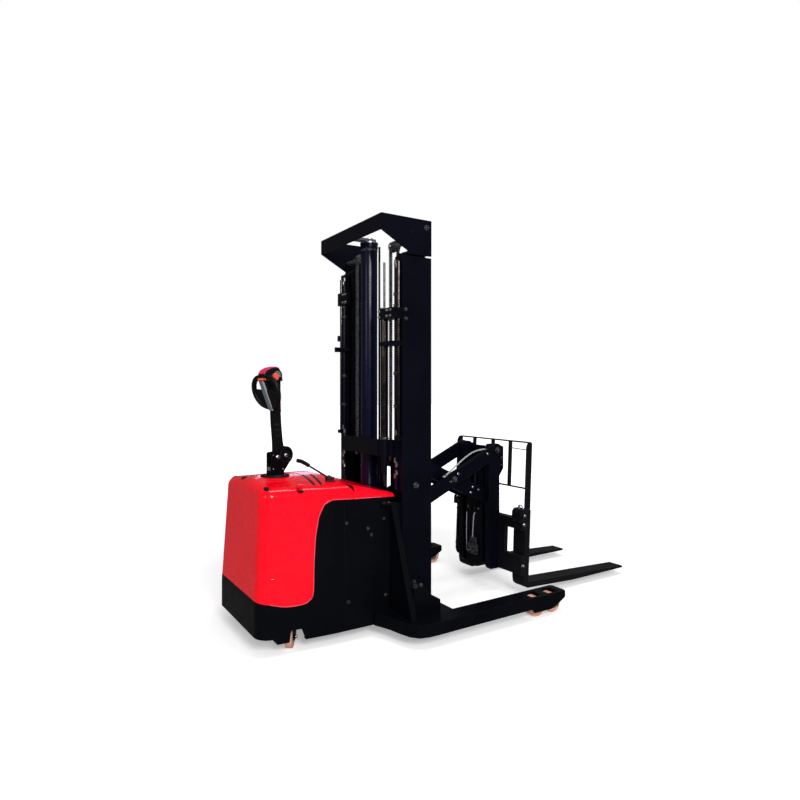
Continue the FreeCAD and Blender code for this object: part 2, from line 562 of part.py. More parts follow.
def reach_frame():
    ear_top = PIVOT_TOP_Z + 36
    front = FRONT_X + RAIL_DEPTH / 2
    rail = guide(FRONT_X, 735, False)
    ear_side = [(FRONT_X - 42, 734), (FRONT_X - 42, ear_top - 20), (FRONT_X - 30, ear_top),
                (FRONT_X + 22, ear_top), (FRONT_X + 36, ear_top - 14), (FRONT_X + 66, ear_top - 14),
                (FRONT_X + 74, ear_top - 22), (FRONT_X + 74, 735), (front, 690), (front - 12, 690),
                (front - 12, 734)]
    ear = plate_xz(ear_side, RAIL_IN, RAIL_OUT)
    pin = rod_y(FRONT_X, PIVOT_TOP_Z, PIN_R, RAIL_OUT - 1, OUTER_ARM_Y + ARM_THICK + 4)
    low = RAIL_FOOT_Z - 1
    foot_cut = plate_xz([(FRONT_X - 43, low), (FRONT_X - 43, low + 30), (FRONT_X - 38, low + 13),
                         (FRONT_X - 26, low)], RAIL_IN - 1, RAIL_OUT + 1)
    half = cut(fuse([rail, ear, pin]), [foot_cut])
    cross = [box(front - 20, front - 6, -RAIL_IN - 1, RAIL_IN + 1, 770, 866),
             box(front - 1, front + 7, -RAIL_OUT, RAIL_OUT, TILT_Z - 38, TILT_Z + 34),
             box(front - 1, front + 5, -RAIL_OUT, RAIL_OUT, RAIL_FOOT_Z, 185)]
    half_block = [(0, 120), (34, 123), (60, 136), (72, 158), (72, 776), (0, 776)]
    block = plate_yz(half_block + [(-y, z) for y, z in half_block[-2:0:-1]], FRONT_X - 40, front)
    lug_side = [(front + 6, TILT_Z - 24), (front + 6, TILT_Z + 24), (TILT_X + 8, TILT_Z + 16),
                (TILT_X + 15, TILT_Z + 6), (TILT_X + 15, TILT_Z - 6), (TILT_X + 8, TILT_Z - 16)]
    lug = plate_xz(lug_side, 60, 76)
    lug = cut(lug, [rod_y(TILT_X, TILT_Z, 10 + RUN_GAP, 50, 90)])
    return fuse([half, mirrored(half), lug, mirrored(lug), block] + cross)


# ---- reach cylinders ----
def along_cylinder(shape):
    """Turns a part drawn upright on the lower pin towards the rod's eye."""
    angle = math.degrees(math.atan2(EYE_X - BARREL_X, EYE_Z - BARREL_Z))
    shape.rotate(V(0, 0, 0), V(0, 1, 0), angle)
    shape.translate(V(BARREL_X, 0, BARREL_Z))
    return shape


def reach_barrel(y):
    eye = rod_y(0, 0, 15, y - 12, y + 12)
    tube = rod_z(0, y, 22, 14, 320)
    bore = rod_z(0, y, 11 + RUN_GAP, 24, 330)
    return along_cylinder(cut(fuse([eye, tube]), [bore, rod_y(0, 0, 8 + RUN_GAP, y - 13, y + 13)]))


def reach_rod(y):
    """Chromed rod with its eye and the pin that passes through the cranks' holes."""
    long = math.hypot(EYE_X - BARREL_X, EYE_Z - BARREL_Z)
    stem = rod_z(0, y, 11, 110, long - 10)
    eye = rod_y(0, long, 15, y - 12, y + 12)
    pin = rod_y(0, long, 8, y - 24, y + 24)
    return along_cylinder(fuse([stem, eye, pin]))


# ---- forks ----
def fork(middle):
    """Fork with its hook over the upper bar of the carriage; drawn level."""
    back = FORK_FACE_X - FORK_THICK
    tip = FORK_FACE_X + FORK_LONG
    heel = FORK_FACE_X + 0.45 * FORK_LONG
    blade = [(back + 30, FORK_TOP_Z - FORK_THICK), (back + 8, FORK_TOP_Z - 20), (back, FORK_TOP_Z + 12),
             (back, FORK_HEAD_Z), (FORK_FACE_X, FORK_HEAD_Z), (FORK_FACE_X, FORK_TOP_Z),
             (tip, FORK_TOP_Z), (tip, FORK_TOP_Z - 12), (heel, FORK_TOP_Z - FORK_THICK)]
    hook = [(back + 1, 456), (back + 1, FORK_HEAD_Z), (back - 18, FORK_HEAD_Z), (back - 30, FORK_HEAD_Z - 16),
            (back - 30, 440), (back - 23, 440), (back - 23, 456)]
    y0, y1 = middle - FORK_WIDE / 2, middle + FORK_WIDE / 2
    return fuse([plate_xz(blade, y0, y1), plate_xz(hook, y0 + 12, y1 - 12)])


def carriage_side(wing_out, fork_in):
    """Parts of one side of the fork carriage: two bars that step back behind the fork's shank."""
    x1 = FORK_FACE_X - FORK_THICK
    x0 = x1 - 22
    low, high = (134, 245), (395, 455)
    parts = [box(x0, x1, WING_IN, wing_out, z0, z1) for z0, z1 in (low, high)]
    parts.append(box(x0, x1, WING_IN, 205, low[0], high[1]))
    for z0, z1 in ((low[0] + 6, low[1] - 10), high):
        parts.append(box(x0, x1 + 24, WING_IN, fork_in - 4, z0, z1))
        parts.append(box(x1 + 8, x1 + 24, 0, WING_IN + 1, z0, z1))
    parts.append(box(x1 + 8, x1 + 24, 60, 110, 230, 396))
    cheek = plate_xz([(TILT_X - 4, TILT_Z - 12), (TILT_X - 10, TILT_Z), (TILT_X - 4, TILT_Z + 12),
                      (x1 + 9, TILT_Z + 14), (x1 + 9, TILT_Z - 14)], 82, 94)
    return parts + [cheek]


def fork_carriage():
    left = carriage_side(CARRIAGE_LEFT, FORK_MIDDLE[0] - FORK_WIDE / 2)
    right = carriage_side(CARRIAGE_RIGHT, -FORK_MIDDLE[1] - FORK_WIDE / 2)
    x1 = FORK_FACE_X - FORK_THICK
    edge = plate_yz([(CARRIAGE_LEFT - 12, 240), (CARRIAGE_LEFT, 240), (CARRIAGE_LEFT, 584),
                     (CARRIAGE_LEFT - 6, 596), (CARRIAGE_LEFT - 12, 596)], x1 - 22, x1)
    corner = plate_yz([(CARRIAGE_LEFT - 30, 133), (CARRIAGE_LEFT + 1, 133), (CARRIAGE_LEFT + 1, 164),
                       (CARRIAGE_LEFT - 10, 143)], x1 - 23, x1 + 1)
    slot = box(TILT_X - 7, TILT_X + 23, 54, 82, 400, 460)
    frame = fuse(left + [mirrored(part) for part in right] + [edge])
    frame = cut(frame, [slot, mirrored(slot), corner])
    pin = rod_y(TILT_X, TILT_Z, 10, 53, 95)
    return fuse([frame, pin, mirrored(pin)])


def backrest():
    """Load guard: two posts that step forward over the fork hooks, joined by thin bars."""
    x1 = FORK_FACE_X - 2
    x0 = x1 - 42
    top = GUARD_TOP_Z
    foot_x = FORK_FACE_X - FORK_THICK - 1
    post = [(foot_x - 20, 455), (foot_x - 20, 500), (x0, 520), (x0, top - 30), (x0 + 14, top), (x1, top),
            (x1, 514), (foot_x, 514), (foot_x, 455)]
    left, right = GUARD_LEFT, -CARRIAGE_RIGHT
    parts = [plate_xz(post, left - GUARD_POST, left), plate_xz(post, right, right + GUARD_POST)]
    parts.append(box(foot_x - 20, foot_x, CARRIAGE_LEFT + 0.3, left, 455, 498))
    parts.append(box(x1 - 20, x1, right, left, top - 8, top))
    parts.append(box(x1 - 16, x1 - 4, right + 7, left - 7, 628, 636))
    parts += [box(x1 - 18, x1 - 2, y - 9, y + 9, 630, top - 6) for y in GUARD_BARS]
    limit = box(foot_x - 30, x1 + 1, right, left, 400, top)
    corners = [e for e in limit.Edges if e.BoundBox.XLength > 30 and e.BoundBox.ZMin > 800]
    return fuse(parts).common(limit.makeFillet(14, corners))


# ---- steering, tiller, casters and wheels ----
def turned(shape, x, y, angle):
    """Turns a part drawn straight ahead about its upright swivel, to the way it stands parked."""
    shape.rotate(V(x, y, 0), V(0, 0, 1), angle)
    return shape


def turret():
    """Steering column: tiller joint on top, wheel fork below."""
    x, z = TILLER_X, TILLER_Z
    column = rod_z(TURRET_X, 0, 55, 260, 779)
    plate = rod_z(TURRET_X, 0, 110, 244, 262)
    cheeks = [box(TURRET_X - 40, TURRET_X + 40, y0, y0 + 14, 90, 246) for y0 in (-56, 42)]
    axle = rod_y(TURRET_X, DRIVE_WHEEL_R, 18, -56, 56)
    socket = box(x - 41, x + 39, -20, 20, 775, z - 41)
    side = plate_xz([(x - 41, z - 74), (x - 41, z + 18), (x - 34, z + 25), (x + 36, z + 27), (x + 92, z - 6),
                     (x + 80, z - 26), (x + 39, z - 76)], 14, 20)
    disc = rod_y(x + 51, z + 6, 45, 14, 20)
    rim = rod_y(x + 51, z + 6, 45, -15, 15)
    rim = cut(rim, [rod_y(x + 51, z + 6, 40, -16, 16), box(x - 10, x + 62, -30, 30, z - 80, z + 80)])
    pin = rod_y(x, z, 9, -22, 22)
    top = fuse([side, disc, mirrored(side), mirrored(disc), socket, rim, pin])
    return turned(fuse([column, plate, axle, top] + cheeks), TURRET_X, 0, STEER_TURN)


def drive_wheel():
    wheel = rod_y(TURRET_X, DRIVE_WHEEL_R, DRIVE_WHEEL_R, -DRIVE_WHEEL_W / 2, DRIVE_WHEEL_W / 2)
    wheel = cut(wheel, [rod_y(TURRET_X, DRIVE_WHEEL_R, 18 + RUN_GAP, -50, 50)])
    return turned(wheel, TURRET_X, 0, STEER_TURN)


def tiller_arm():
    """Slim arm that rises from its hub between the cheeks and leans back a little."""
    x, z = TILLER_X, TILLER_Z
    hub = rod_y(x, z, 26, -13.5, 13.5)
    side = [(x - 13, z), (x + 25, z), (x + 43, z + 41), (x + 34, z + 90), (x + 27, z + 160),
            (x + 23, z + 226), (x - 25, z + 226), (x - 21, z + 160), (x - 14, z + 90), (x - 12, z + 41)]
    arm = cut(fuse([plate_xz(side, -13.5, 13.5), hub]), [rod_y(x, z, 9 + RUN_GAP, -30, 30)])
    return turned(arm, TURRET_X, 0, STEER_TURN)


def grip_loop():
    """Closed handle beside the tiller head: a bent round tube."""
    x, z = TILLER_X, TILLER_Z
    bends = [(-71, 12, 392), (-72, 56, 398), (-66, 88, 372), (-57, 96, 330), (-43, 78, 284), (-27, 38, 255),
             (-20, 8, 253)]
    curve = Part.BSplineCurve()
    curve.interpolate([V(x + dx, y, z + dz) for dx, y, dz in bends])
    start, heading = curve.value(curve.FirstParameter), curve.tangent(curve.FirstParameter)[0]
    ring = Part.Wire([Part.makeCircle(13, start, heading)])
    return Part.Wire([curve.toShape()]).makePipeShell([ring], True, True)


def tiller_head():
    """Head set back on the arm: a slim spine, a round-topped switch block and two grip loops."""
    x, z = TILLER_X, TILLER_Z
    spine = plate_xz([(x - 86, z + 388), (x - 21, z + 234), (x - 25, z + 226), (x + 23, z + 226),
                      (x + 19, z + 310), (x + 20, z + 388)], -16, 16)
    crown = plate_xz([(x - 90, z + 384), (x - 89, z + 414), (x - 76, z + 434), (x - 50, z + 448),
                      (x - 18, z + 454), (x + 2, z + 449), (x + 18, z + 430), (x + 22, z + 384)], -29, 29)
    upper = [e for e in crown.Edges if min(v.Z for v in e.Vertexes) > z + 400 and e.BoundBox.YLength < 1]
    web = plate_yz([(0, 0), (40, 14), (78, 50), (93, 92), (90, 112), (16, 108), (0, 108)], -6, 6)
    web.rotate(V(0, 0, 0), V(0, 1, 0), -22)
    web.translate(V(x - 21, 0, z + 238))
    loop = grip_loop().fuse(web)
    head = fuse([spine, crown.makeFillet(7, upper), loop, mirrored(loop)])
    return turned(head, TURRET_X, 0, STEER_TURN)


def caster_fork(side):
    y = side * CASTER_Y
    x = CASTER_X
    wheel_x = x - CASTER_TRAIL
    top = rod_z(x, y, 38, 124, CASTER_TOP_Z - 0.5)
    cheek_side = [(wheel_x - 14, CASTER_R - 14), (wheel_x - 14, CASTER_R + 12), (x - 36, 126), (x + 26, 126),
                  (wheel_x + 20, CASTER_R - 14)]
    cheeks = [plate_xz(cheek_side, y0, y0 + 6) for y0 in (y - 24, y + 18)]
    bridge = box(x - 36, x + 26, y - 24, y + 24, 116, 126)
    axle = rod_y(wheel_x, CASTER_R, 8, y - 27, y + 27)
    return turned(fuse([top, bridge, axle] + cheeks), x, y, CASTER_TURN)


def caster_wheel(side):
    y = side * CASTER_Y
    x = CASTER_X - CASTER_TRAIL
    wheel = rod_y(x, CASTER_R, CASTER_R, y - 15, y + 15)
    wheel = cut(wheel, [rod_y(x, CASTER_R, 8 + RUN_GAP, y - 30, y + 30)])
    return turned(wheel, CASTER_X, y, CASTER_TURN)


def load_wheel(x, side):
    y = side * WHEEL_Y
    wheel = rod_y(x, LOAD_WHEEL_R, LOAD_WHEEL_R, y - LOAD_WHEEL_W / 2, y + LOAD_WHEEL_W / 2)
    return cut(wheel, [rod_y(x, LOAD_WHEEL_R, 10, y - 50, y + 50)])


def pair(shape):
    """Two like solids on one body, one on each side."""
    return Part.makeCompound([shape, mirrored(shape)])


def make():
    os.makedirs("parts", exist_ok=True)
    save("chassis", chassis())
    save("straddle_base", straddle_base())
    save("leg_left", leg())
    save("leg_right", mirrored(leg()))
    save("leg_sleeves", pair(foot()))
    save("gussets", pair(gusset()))
    save("hood", hood())
    save("battery_cover", battery_cover())
    save("battery", battery())
    save("outer_rail_left", outer_mast())
    save("outer_rail_right", mirrored(outer_mast()))
    low, waist = outer_cross()
    save("mast_seat", low)
    save("mast_waist", waist)
    save("side_tubes", side_tubes())
    save("tube_brackets", tube_brackets())
    save("mast_pipes", mast_pipes())
    save("lift_barrel", lift_cylinder())
    save("inner_rail_left", inner_rail())
    save("inner_rail_right", mirrored(inner_rail()))
    save("inner_tie", inner_tie())
    save("top_hat", top_hat())
    save("lift_rod", lift_rod())
    save("chain_sheaves", pair(sheave()))
    save("chains_rear", pair(chain(SHEAVE_X - SHEAVE_R, CHAIN_FIX_Z)))
    save("chains_front", pair(chain(SHEAVE_X + SHEAVE_R, CHAIN_END_Z)))
    save("lift_carriage", lift_carriage())
    save("rear_arms", rear_arms())
    save("centre_arm_left", centre_arm())
    save("centre_arm_right", mirrored(centre_arm()))
    save("reach_barrels", Part.makeCompound([reach_barrel(REACH_CYL_Y), reach_barrel(-REACH_CYL_Y)]))
    save("reach_rods", Part.makeCompound([reach_rod(REACH_CYL_Y), reach_rod(-REACH_CYL_Y)]))
    save("reach_frame", reach_frame())
    save("fork_carriage", tilted(fork_carriage()))
    save("backrest", tilted(backrest()))
    save("fork_left", tilted(fork(FORK_MIDDLE[0])))
    save("fork_right", tilted(fork(FORK_MIDDLE[1])))
    save("turret", turret())
    save("drive_wheel", drive_wheel())
    save("tiller_arm", tiller_arm())
    save("tiller_head", tiller_head())
    for word, side in (("left", 1), ("right", -1)):
        save(f"caster_fork_{word}", caster_fork(side))
        save(f"caster_wheel_{word}", caster_wheel(side))
        for count, x in enumerate(LOAD_WHEEL_X, 1):
            save(f"load_wheel_{word}_{count}", load_wheel(x, side))
    print("origin x", ORIGIN_X)


make()
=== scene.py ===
import json
import math
import bmesh
import bpy
from mathutils import Matrix, Vector
from mathutils.bvhtree import BVHTree


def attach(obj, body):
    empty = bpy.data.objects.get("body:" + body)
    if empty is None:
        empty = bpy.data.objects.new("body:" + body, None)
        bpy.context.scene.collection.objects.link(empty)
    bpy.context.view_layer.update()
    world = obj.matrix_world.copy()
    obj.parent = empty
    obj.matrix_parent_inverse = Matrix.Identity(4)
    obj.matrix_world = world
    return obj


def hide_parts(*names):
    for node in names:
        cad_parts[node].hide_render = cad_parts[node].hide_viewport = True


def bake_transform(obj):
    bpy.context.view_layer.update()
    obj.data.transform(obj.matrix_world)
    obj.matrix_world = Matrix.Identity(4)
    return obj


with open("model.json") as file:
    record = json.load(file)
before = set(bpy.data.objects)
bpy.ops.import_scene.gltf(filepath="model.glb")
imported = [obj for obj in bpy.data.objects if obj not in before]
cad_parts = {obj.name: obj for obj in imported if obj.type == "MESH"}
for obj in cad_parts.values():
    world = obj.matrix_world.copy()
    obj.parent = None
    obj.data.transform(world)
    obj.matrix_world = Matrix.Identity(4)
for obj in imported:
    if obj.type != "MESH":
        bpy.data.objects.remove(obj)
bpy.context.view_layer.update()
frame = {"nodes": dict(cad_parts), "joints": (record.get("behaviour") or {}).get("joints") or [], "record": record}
nodes = frame["nodes"]

BACK, FORWARD = (-1, 0, 0), (1, 0, 0)
RIGHT, LEFT = (0, -1, 0), (0, 1, 0)
DOWN, UP = (0, 0, -1), (0, 0, 1)


# ---- node trees, colours and materials ----
CYLINDER, MOVE, XYZ = "GeometryNodeMeshCylinder", "GeometryNodeTransform", "ShaderNodeCombineXYZ"
ON_POINTS, REALIZE = "GeometryNodeInstanceOnPoints", "GeometryNodeRealizeInstances"
MATHS, SPREAD = "ShaderNodeMath", "ShaderNodeMapRange"


def feed(tree, node, links):
    """Gives a node's inputs, by name or number, a plain value, a socket, the first output of a node,
    or the product of a pair of a socket and a factor."""
    for key, value in links.items():
        if isinstance(value, tuple) and isinstance(value[0], bpy.types.NodeSocket):
            value = add(tree, MATHS, {0: value[0], 1: value[1]}, operation="MULTIPLY")
        if isinstance(value, bpy.types.Node):
            value = value.outputs[0]
        if isinstance(value, bpy.types.NodeSocket):
            tree.links.new(value, node.inputs[key])
        else:
            node.inputs[key].default_value = value
    return node


def add(tree, kind, links=None, **settings):
    """Adds a node with its settings and links."""
    node = tree.nodes.new(kind)
    for name, value in settings.items():
        setattr(node, name, value)
    return feed(tree, node, links or {})


def linear(code):
    """sRGB hex such as "C41E34" to a linear RGBA tuple."""
    channels = [int(code[i:i + 2], 16) / 255 for i in (0, 2, 4)]
    return tuple(c / 12.92 if c <= 0.04045 else ((c + 0.055) / 1.055) ** 2.4 for c in channels) + (1.0,)


def blank(name):
    """A new material and its node tree."""
    made = bpy.data.materials.new(name)
    made.use_nodes = True
    return made, made.node_tree


def surfaced(made, links):
    """The material, once its surface has these inputs."""
    feed(made.node_tree, made.node_tree.nodes["Principled BSDF"], links)
    return made


def speckle(tree, scale, detail=3.0):
    """Noise laid on the piece's own coordinates, so many grains to the metre."""
    place = add(tree, "ShaderNodeTexCoord").outputs["Object"]
    return add(tree, "ShaderNodeTexNoise", {"Vector": place, "Scale": scale, "Detail": detail})


def mottle(tree, scale, low, high, first, last, detail=3.0):
    """Speckle whose values low..high are spread onto first..last and clamped."""
    return add(tree, SPREAD, {"Value": speckle(tree, scale, detail), "From Min": low, "From Max": high,
                              "To Min": first, "To Max": last})


def drift(tree, first, second, scale, low, high, most=1.0, detail=3.0):
    """Colour that drifts in soft patches from the first hex towards the second."""
    share = mottle(tree, scale, low, high, 0.0, most, detail)
    colours = {0: share, 6: linear(first), 7: linear(second)}
    return add(tree, "ShaderNodeMix", colours, data_type="RGBA").outputs[2]


def grain(tree, scale, strength, depth, detail=3.0):
    """Fine relief of the surface, depth in metres."""
    height = speckle(tree, scale, detail)
    return add(tree, "ShaderNodeBump", {"Height": height, "Strength": strength, "Distance": depth})


EDGE = 0.0015                 # metres from an edge over which paint is rubbed, or on the red enamel lit with a painted highlight
FLAT, CORNER = 0.995, 0.90    # how far a rounded edge leans off its face: paint whole, paint rubbed, which on the red enamel is a painted highlight


def painted(name, colour, light, roughness, gloss, coat=0.0, peel=0.08, wear_and_sheen=0.35, edge_metal_and_sheen="6A6A70"):
    """Sprayed paint on steel: slight colour drift, orange peel and edges in a second colour: rubbed bare metal,
    except on the red enamel, where the pale pink edges are a painted highlight.
    """
    made, tree = blank(name)
    edge = add(tree, "ShaderNodeBevel", {"Radius": EDGE})
    face = add(tree, "ShaderNodeNewGeometry").outputs["Normal"]
    turn = add(tree, "ShaderNodeVectorMath", {0: edge, 1: face}, operation="DOT_PRODUCT").outputs["Value"]
    # share of the edge colour: rubbed bare metal on the black paints, a painted highlight on the red enamel
    rubbed_and_sheen = add(tree, SPREAD, {"Value": turn, "From Min": FLAT, "From Max": CORNER, "To Max": wear_and_sheen})
    paint = drift(tree, colour, light, 3.0, 0.3, 0.7)
    base = add(tree, "ShaderNodeMix", {0: rubbed_and_sheen, 6: paint, 7: linear(edge_metal_and_sheen)}, data_type="RGBA").outputs[2]
    return surfaced(made, {
        "Base Color": base, "Specular IOR Level": gloss, "Coat Weight": coat, "Coat Roughness": 0.07,
        "Roughness": mottle(tree, 14.0, 0.25, 0.75, roughness - 0.05, roughness + 0.07, 4.0),
        "Normal": grain(tree, 420.0, peel, 0.0006, 2.0)})


def bare_metal(name, first, second, patches, polish, metallic=1.0):
    """Steel or plating: patches and polish are the numbers of a drift and of a mottle."""
    made, tree = blank(name)
    return surfaced(made, {"Base Color": drift(tree, first, second, *patches), "Metallic": metallic,
                           "Roughness": mottle(tree, *polish)})


def fastener_metal(name, colour, roughness, metallic=1.0):
    """Plated or blackened steel of fasteners and fittings: handled, with dull spots."""
    return bare_metal(name, colour, "8C8C90", (70.0, 0.35, 0.65, 0.6),
                      (130.0, 0.3, 0.7, roughness - 0.06, roughness + 0.08), metallic)


def polyurethane():
    """Cast polyurethane tread: warm tan, slightly milky, dusted and scuffed."""
    made, tree = blank("tan_polyurethane")
    return surfaced(made, {
        "Base Color": drift(tree, "D2977C", "EAD2C8", 28.0, 0.4, 0.75, 0.5, 5.0), "Subsurface Weight": 0.08,
        "Roughness": mottle(tree, 60.0, 0.3, 0.7, 0.38, 0.6), "Normal": grain(tree, 240.0, 0.12, 0.0008)})


def moulded_plastic(name, colour, light, roughness=0.48, relief=0.25):
    """Injection-moulded plastic with a fine spark-eroded grain."""
    made, tree = blank(name)
    return surfaced(made, {
        "Base Color": drift(tree, colour, light, 9.0, 0.3, 0.7, 0.25), "Specular IOR Level": 0.2,
        "Roughness": mottle(tree, 200.0, 0.3, 0.7, roughness - 0.06, roughness + 0.08),
        "Normal": grain(tree, 900.0, relief, 0.0004, 2.0)})


def woven_hose():
    """Hose in a pale woven sleeve: matt, with the weave drawn coarse enough to show."""
    made, tree = blank("pale_woven_hose_sleeve")
    return surfaced(made, {"Base Color": drift(tree, "6E6E74", "B8B8BE", 260.0, 0.35, 0.65, 1.0, 2.0),
                           "Roughness": 0.55, "Normal": grain(tree, 700.0, 0.3, 0.0005, 2.0)})


FINISH = {
    # satin black powder coat with a navy cast, on chassis and legs
    "body_black": painted("black_powder_coat", "040509", "07080E", 0.38, 0.08, 0.02, 0.14, 0.18, "3A3A42"),
    # gloss red enamel on the hood and the battery cover; its pale pink edges are a painted highlight, not wear
    "hood_red": painted("red_enamel", "F4001A", "FA0420", 0.26, 0.08, 0.55, 0.05, 0.12, "F26070"),
    # semi-gloss black paint with a blue cast on mast channels and arms
    "mast_black": painted("black_mast_paint", "04050C", "070814", 0.34, 0.08, 0.02, 0.10, 0.2, "3A3A44"),
    # duller black on the forks, greyer where loads have rubbed its edges
    "fork_black": painted("black_fork_paint", "0B0B10", "131318", 0.42, 0.14, 0.0, 0.16, 0.4),
    # glossy black with a deep blue sheen on cylinders and pipes
    "cylinder_black": painted("gloss_black_cylinder_paint", "030418", "060826", 0.26, 0.2, 0.12, 0.03, 0.1),
    # flat grey of the battery's steel case
    "battery_case": painted("grey_battery_case", "4A4C52", "565860", 0.5, 0.3),
    # hard-chromed piston rods: bright, with fine turning marks
    "rod_chrome": bare_metal("hard_chrome", "D8D9DC", "D8D9DC", (60.0, 0.3, 0.7), (60.0, 0.3, 0.7, 0.08, 0.18)),
    # oiled steel of leaf chains and sheaves: bright where it rubs, greasy between
    "chain_steel": bare_metal("oiled_chain_steel", "B4B4BA", "4A4A4E", (120.0, 0.4, 0.65, 1.0, 5.0),
                              (150.0, 0.3, 0.7, 0.28, 0.5), 0.9),
    "wheel_tan": polyurethane(),
    "tiller_black": moulded_plastic("black_moulded_plastic", "060609", "101014"),
    # polished steel of the side tube; its dark brown colour is a painted reflection of dark surroundings
    "tube_steel": bare_metal("steel_with_painted_dark_reflection", "3A3130", "57504E", (40.0, 0.35, 0.65, 1.0, 4.0),
                             (90.0, 0.3, 0.7, 0.1, 0.2)),
}

PALE_HOSE = woven_hose()
ZINC = fastener_metal("zinc_plated_steel", "B9B9BE", 0.3)
BLACKED = fastener_metal("black_oxide_steel", "1C1C22", 0.38, 0.8)
RUBBER = moulded_plastic("black_hose_rubber", "09090D", "16161B", 0.5, 0.12)
DARK_TRIM = moulded_plastic("dark_moulded_trim", "121216", "1C1C22", 0.4, 0.15)
CAP_MAGENTA = moulded_plastic("magenta_moulded_cap", "D21F52", "E8406E", 0.28, 0.05)
SIGNAL_ORANGE = moulded_plastic("orange_moulded_strip", "F0602E", "F78858", 0.32, 0.05)
THUMB_RED = moulded_plastic("salmon_thumb_wheel", "E4523E", "F07A62", 0.34, 0.06)
KEY_GREY = moulded_plastic("grey_moulded_panel", "5A6068", "6C727A", 0.4, 0.1)
# lighter copy of the grey panel plastic: a painted highlight on a lit facet
KEY_GREY_LIT = moulded_plastic("grey_moulded_painted_highlight", "8A9096", "A4AAB0", 0.4, 0.1)
LEVER_RED = painted("dark_red_lever_paint", "3A0A14", "4E101C", 0.3, 0.2, 0.1)
# pale rose line along the hood's border: a painted highlight of the panel edge
HOOD_EDGE_HIGHLIGHT = painted("painted_highlight_line", "F04A5E", "F4667A", 0.3, 0.2, 0.2)

for part in frame["record"]["subparts"]:
    for place in nodes[part["node"]].material_slots:
        place.material = FINISH[part["material_slot"]]


# ---- places on the truck: millimetres, x counted from the mast's rear face ----
JOINTS = {joint["name"]: joint for joint in frame["joints"]}
ROW_SHIFT = -JOINTS["mast_lift"]["pos_m"][0]     # metres from the mast's rear face to the frame's origin


def joint_place(name):
    """Where the frame has a joint."""
    x, y, z = JOINTS[name]["pos_m"]
    return (x + ROW_SHIFT) * 1000, y * 1000, z * 1000


def axle_turn(name):
    """How far a wheel's axle stands turned from straight across."""
    x, y, _ = JOINTS[name]["axis"]
    return math.atan2(-x, y)


STEER, DRIVE, TILLER = joint_place("steer"), joint_place("drive_wheel"), joint_place("tiller")
SWIVEL, CASTER = joint_place("caster_swivel_left"), joint_place("caster_roll_left")
STEER_X, DRIVE_Z = STEER[0], DRIVE[2]            # steering column, and axle of the drive wheel
STEER_TURN, CASTER_TURN = axle_turn("drive_wheel"), axle_turn("caster_roll_left")
JOINT_X, JOINT_Z = STEER_X + math.dist(STEER[:2], TILLER[:2]), TILLER[2]     # before the steering is turned
CASTER_Y, CASTER_TRAIL = SWIVEL[1], math.dist(SWIVEL[:2], CASTER[:2])        # each axle trails its swivel
LOAD_AXLES = [joint_place(f"load_wheel_left_{count}")[0] for count in (1, 2)]
_, WHEEL_Y, WHEEL_Z = joint_place("load_wheel_left_1")      # the casters' axles are as high
LEG_OUT, LEG_IN = 622, 512    # faces of an outrigger
TUBE = (-40, -230)            # the side tube's axis
CHAIN_Y = 186
SHEAVE_X, SHEAVE_Z = 49, 1978.0
PIVOT_X, _, PIVOT_Z = joint_place("reach")       # fixed upper pivots of the pantograph
ARM_LONG = joint_place("reach_level")[0] - PIVOT_X          # level distance between an arm's end pins
ARM_RISE = 300.0              # and the height between them
ARM_ANGLE = math.atan2(ARM_RISE, ARM_LONG)
RAM_X, _, RAM_Z = joint_place("reach_barrel_pin")           # lower pins of the reach rams
EYE = (PIVOT_X + 80 * math.cos(ARM_ANGLE), PIVOT_Z - 80 * math.sin(ARM_ANGLE))    # the rods' eyes
LEAN = math.radians(2.5)      # the fork carriage leans tips down about its two pins
TILT_X, _, TILT_Z = joint_place("fork_tilt")


def at(x, y, z):
    """Millimetres, x counted from the mast's rear face, to a point of the frame in metres."""
    return Vector((x / 1000 - ROW_SHIFT, y / 1000, z / 1000))


def about(point, turn):
    """A rotation about a point instead of the origin."""
    return Matrix.Translation(point) @ turn @ Matrix.Translation(-point)


STEERED = about(at(STEER_X, 0, 0), Matrix.Rotation(STEER_TURN, 4, "Z"))
LEANED = about(at(TILT_X, 0, TILT_Z), Matrix.Rotation(LEAN, 4, "Y"))


# ---- tools for building pieces ----
SHARP, SOFTENED = math.radians(38), math.radians(42)     # angles from which an edge is creased, and rounded


def placed(name, data):
    """A new object of the scene."""
    made = bpy.data.objects.new(name, data)
    bpy.context.collection.objects.link(made)
    return made


def around(steps):
    """Angles at even steps round a circle."""
    return [n * math.tau / steps for n in range(steps)]


def spokes(axis, steps):
    """The axis made one long, and as long spokes at even steps round it."""
    axis = Vector(axis).normalized()
    side = axis.orthogonal().normalized()
    other = axis.cross(side)
    return axis, [side * math.cos(a) + other * math.sin(a) for a in around(steps)]


def smooth_line(points, cuts):
    """Catmull-Rom line through the points."""
    ends = [Vector(p) for p in [points[0], *points, points[-1]]]
    line = []
    for p0, p1, p2, p3 in zip(ends, ends[1:], ends[2:], ends[3:]):
        for n in range(cuts):
            t = n / cuts
            line.append(0.5 * (2 * p1 + (p2 - p0) * t + (2 * p0 - 5 * p1 + 4 * p2 - p3) * t ** 2
                               + (3 * p1 - p0 - 3 * p2 + p3) * t ** 3))
    return line + [ends[-1]]


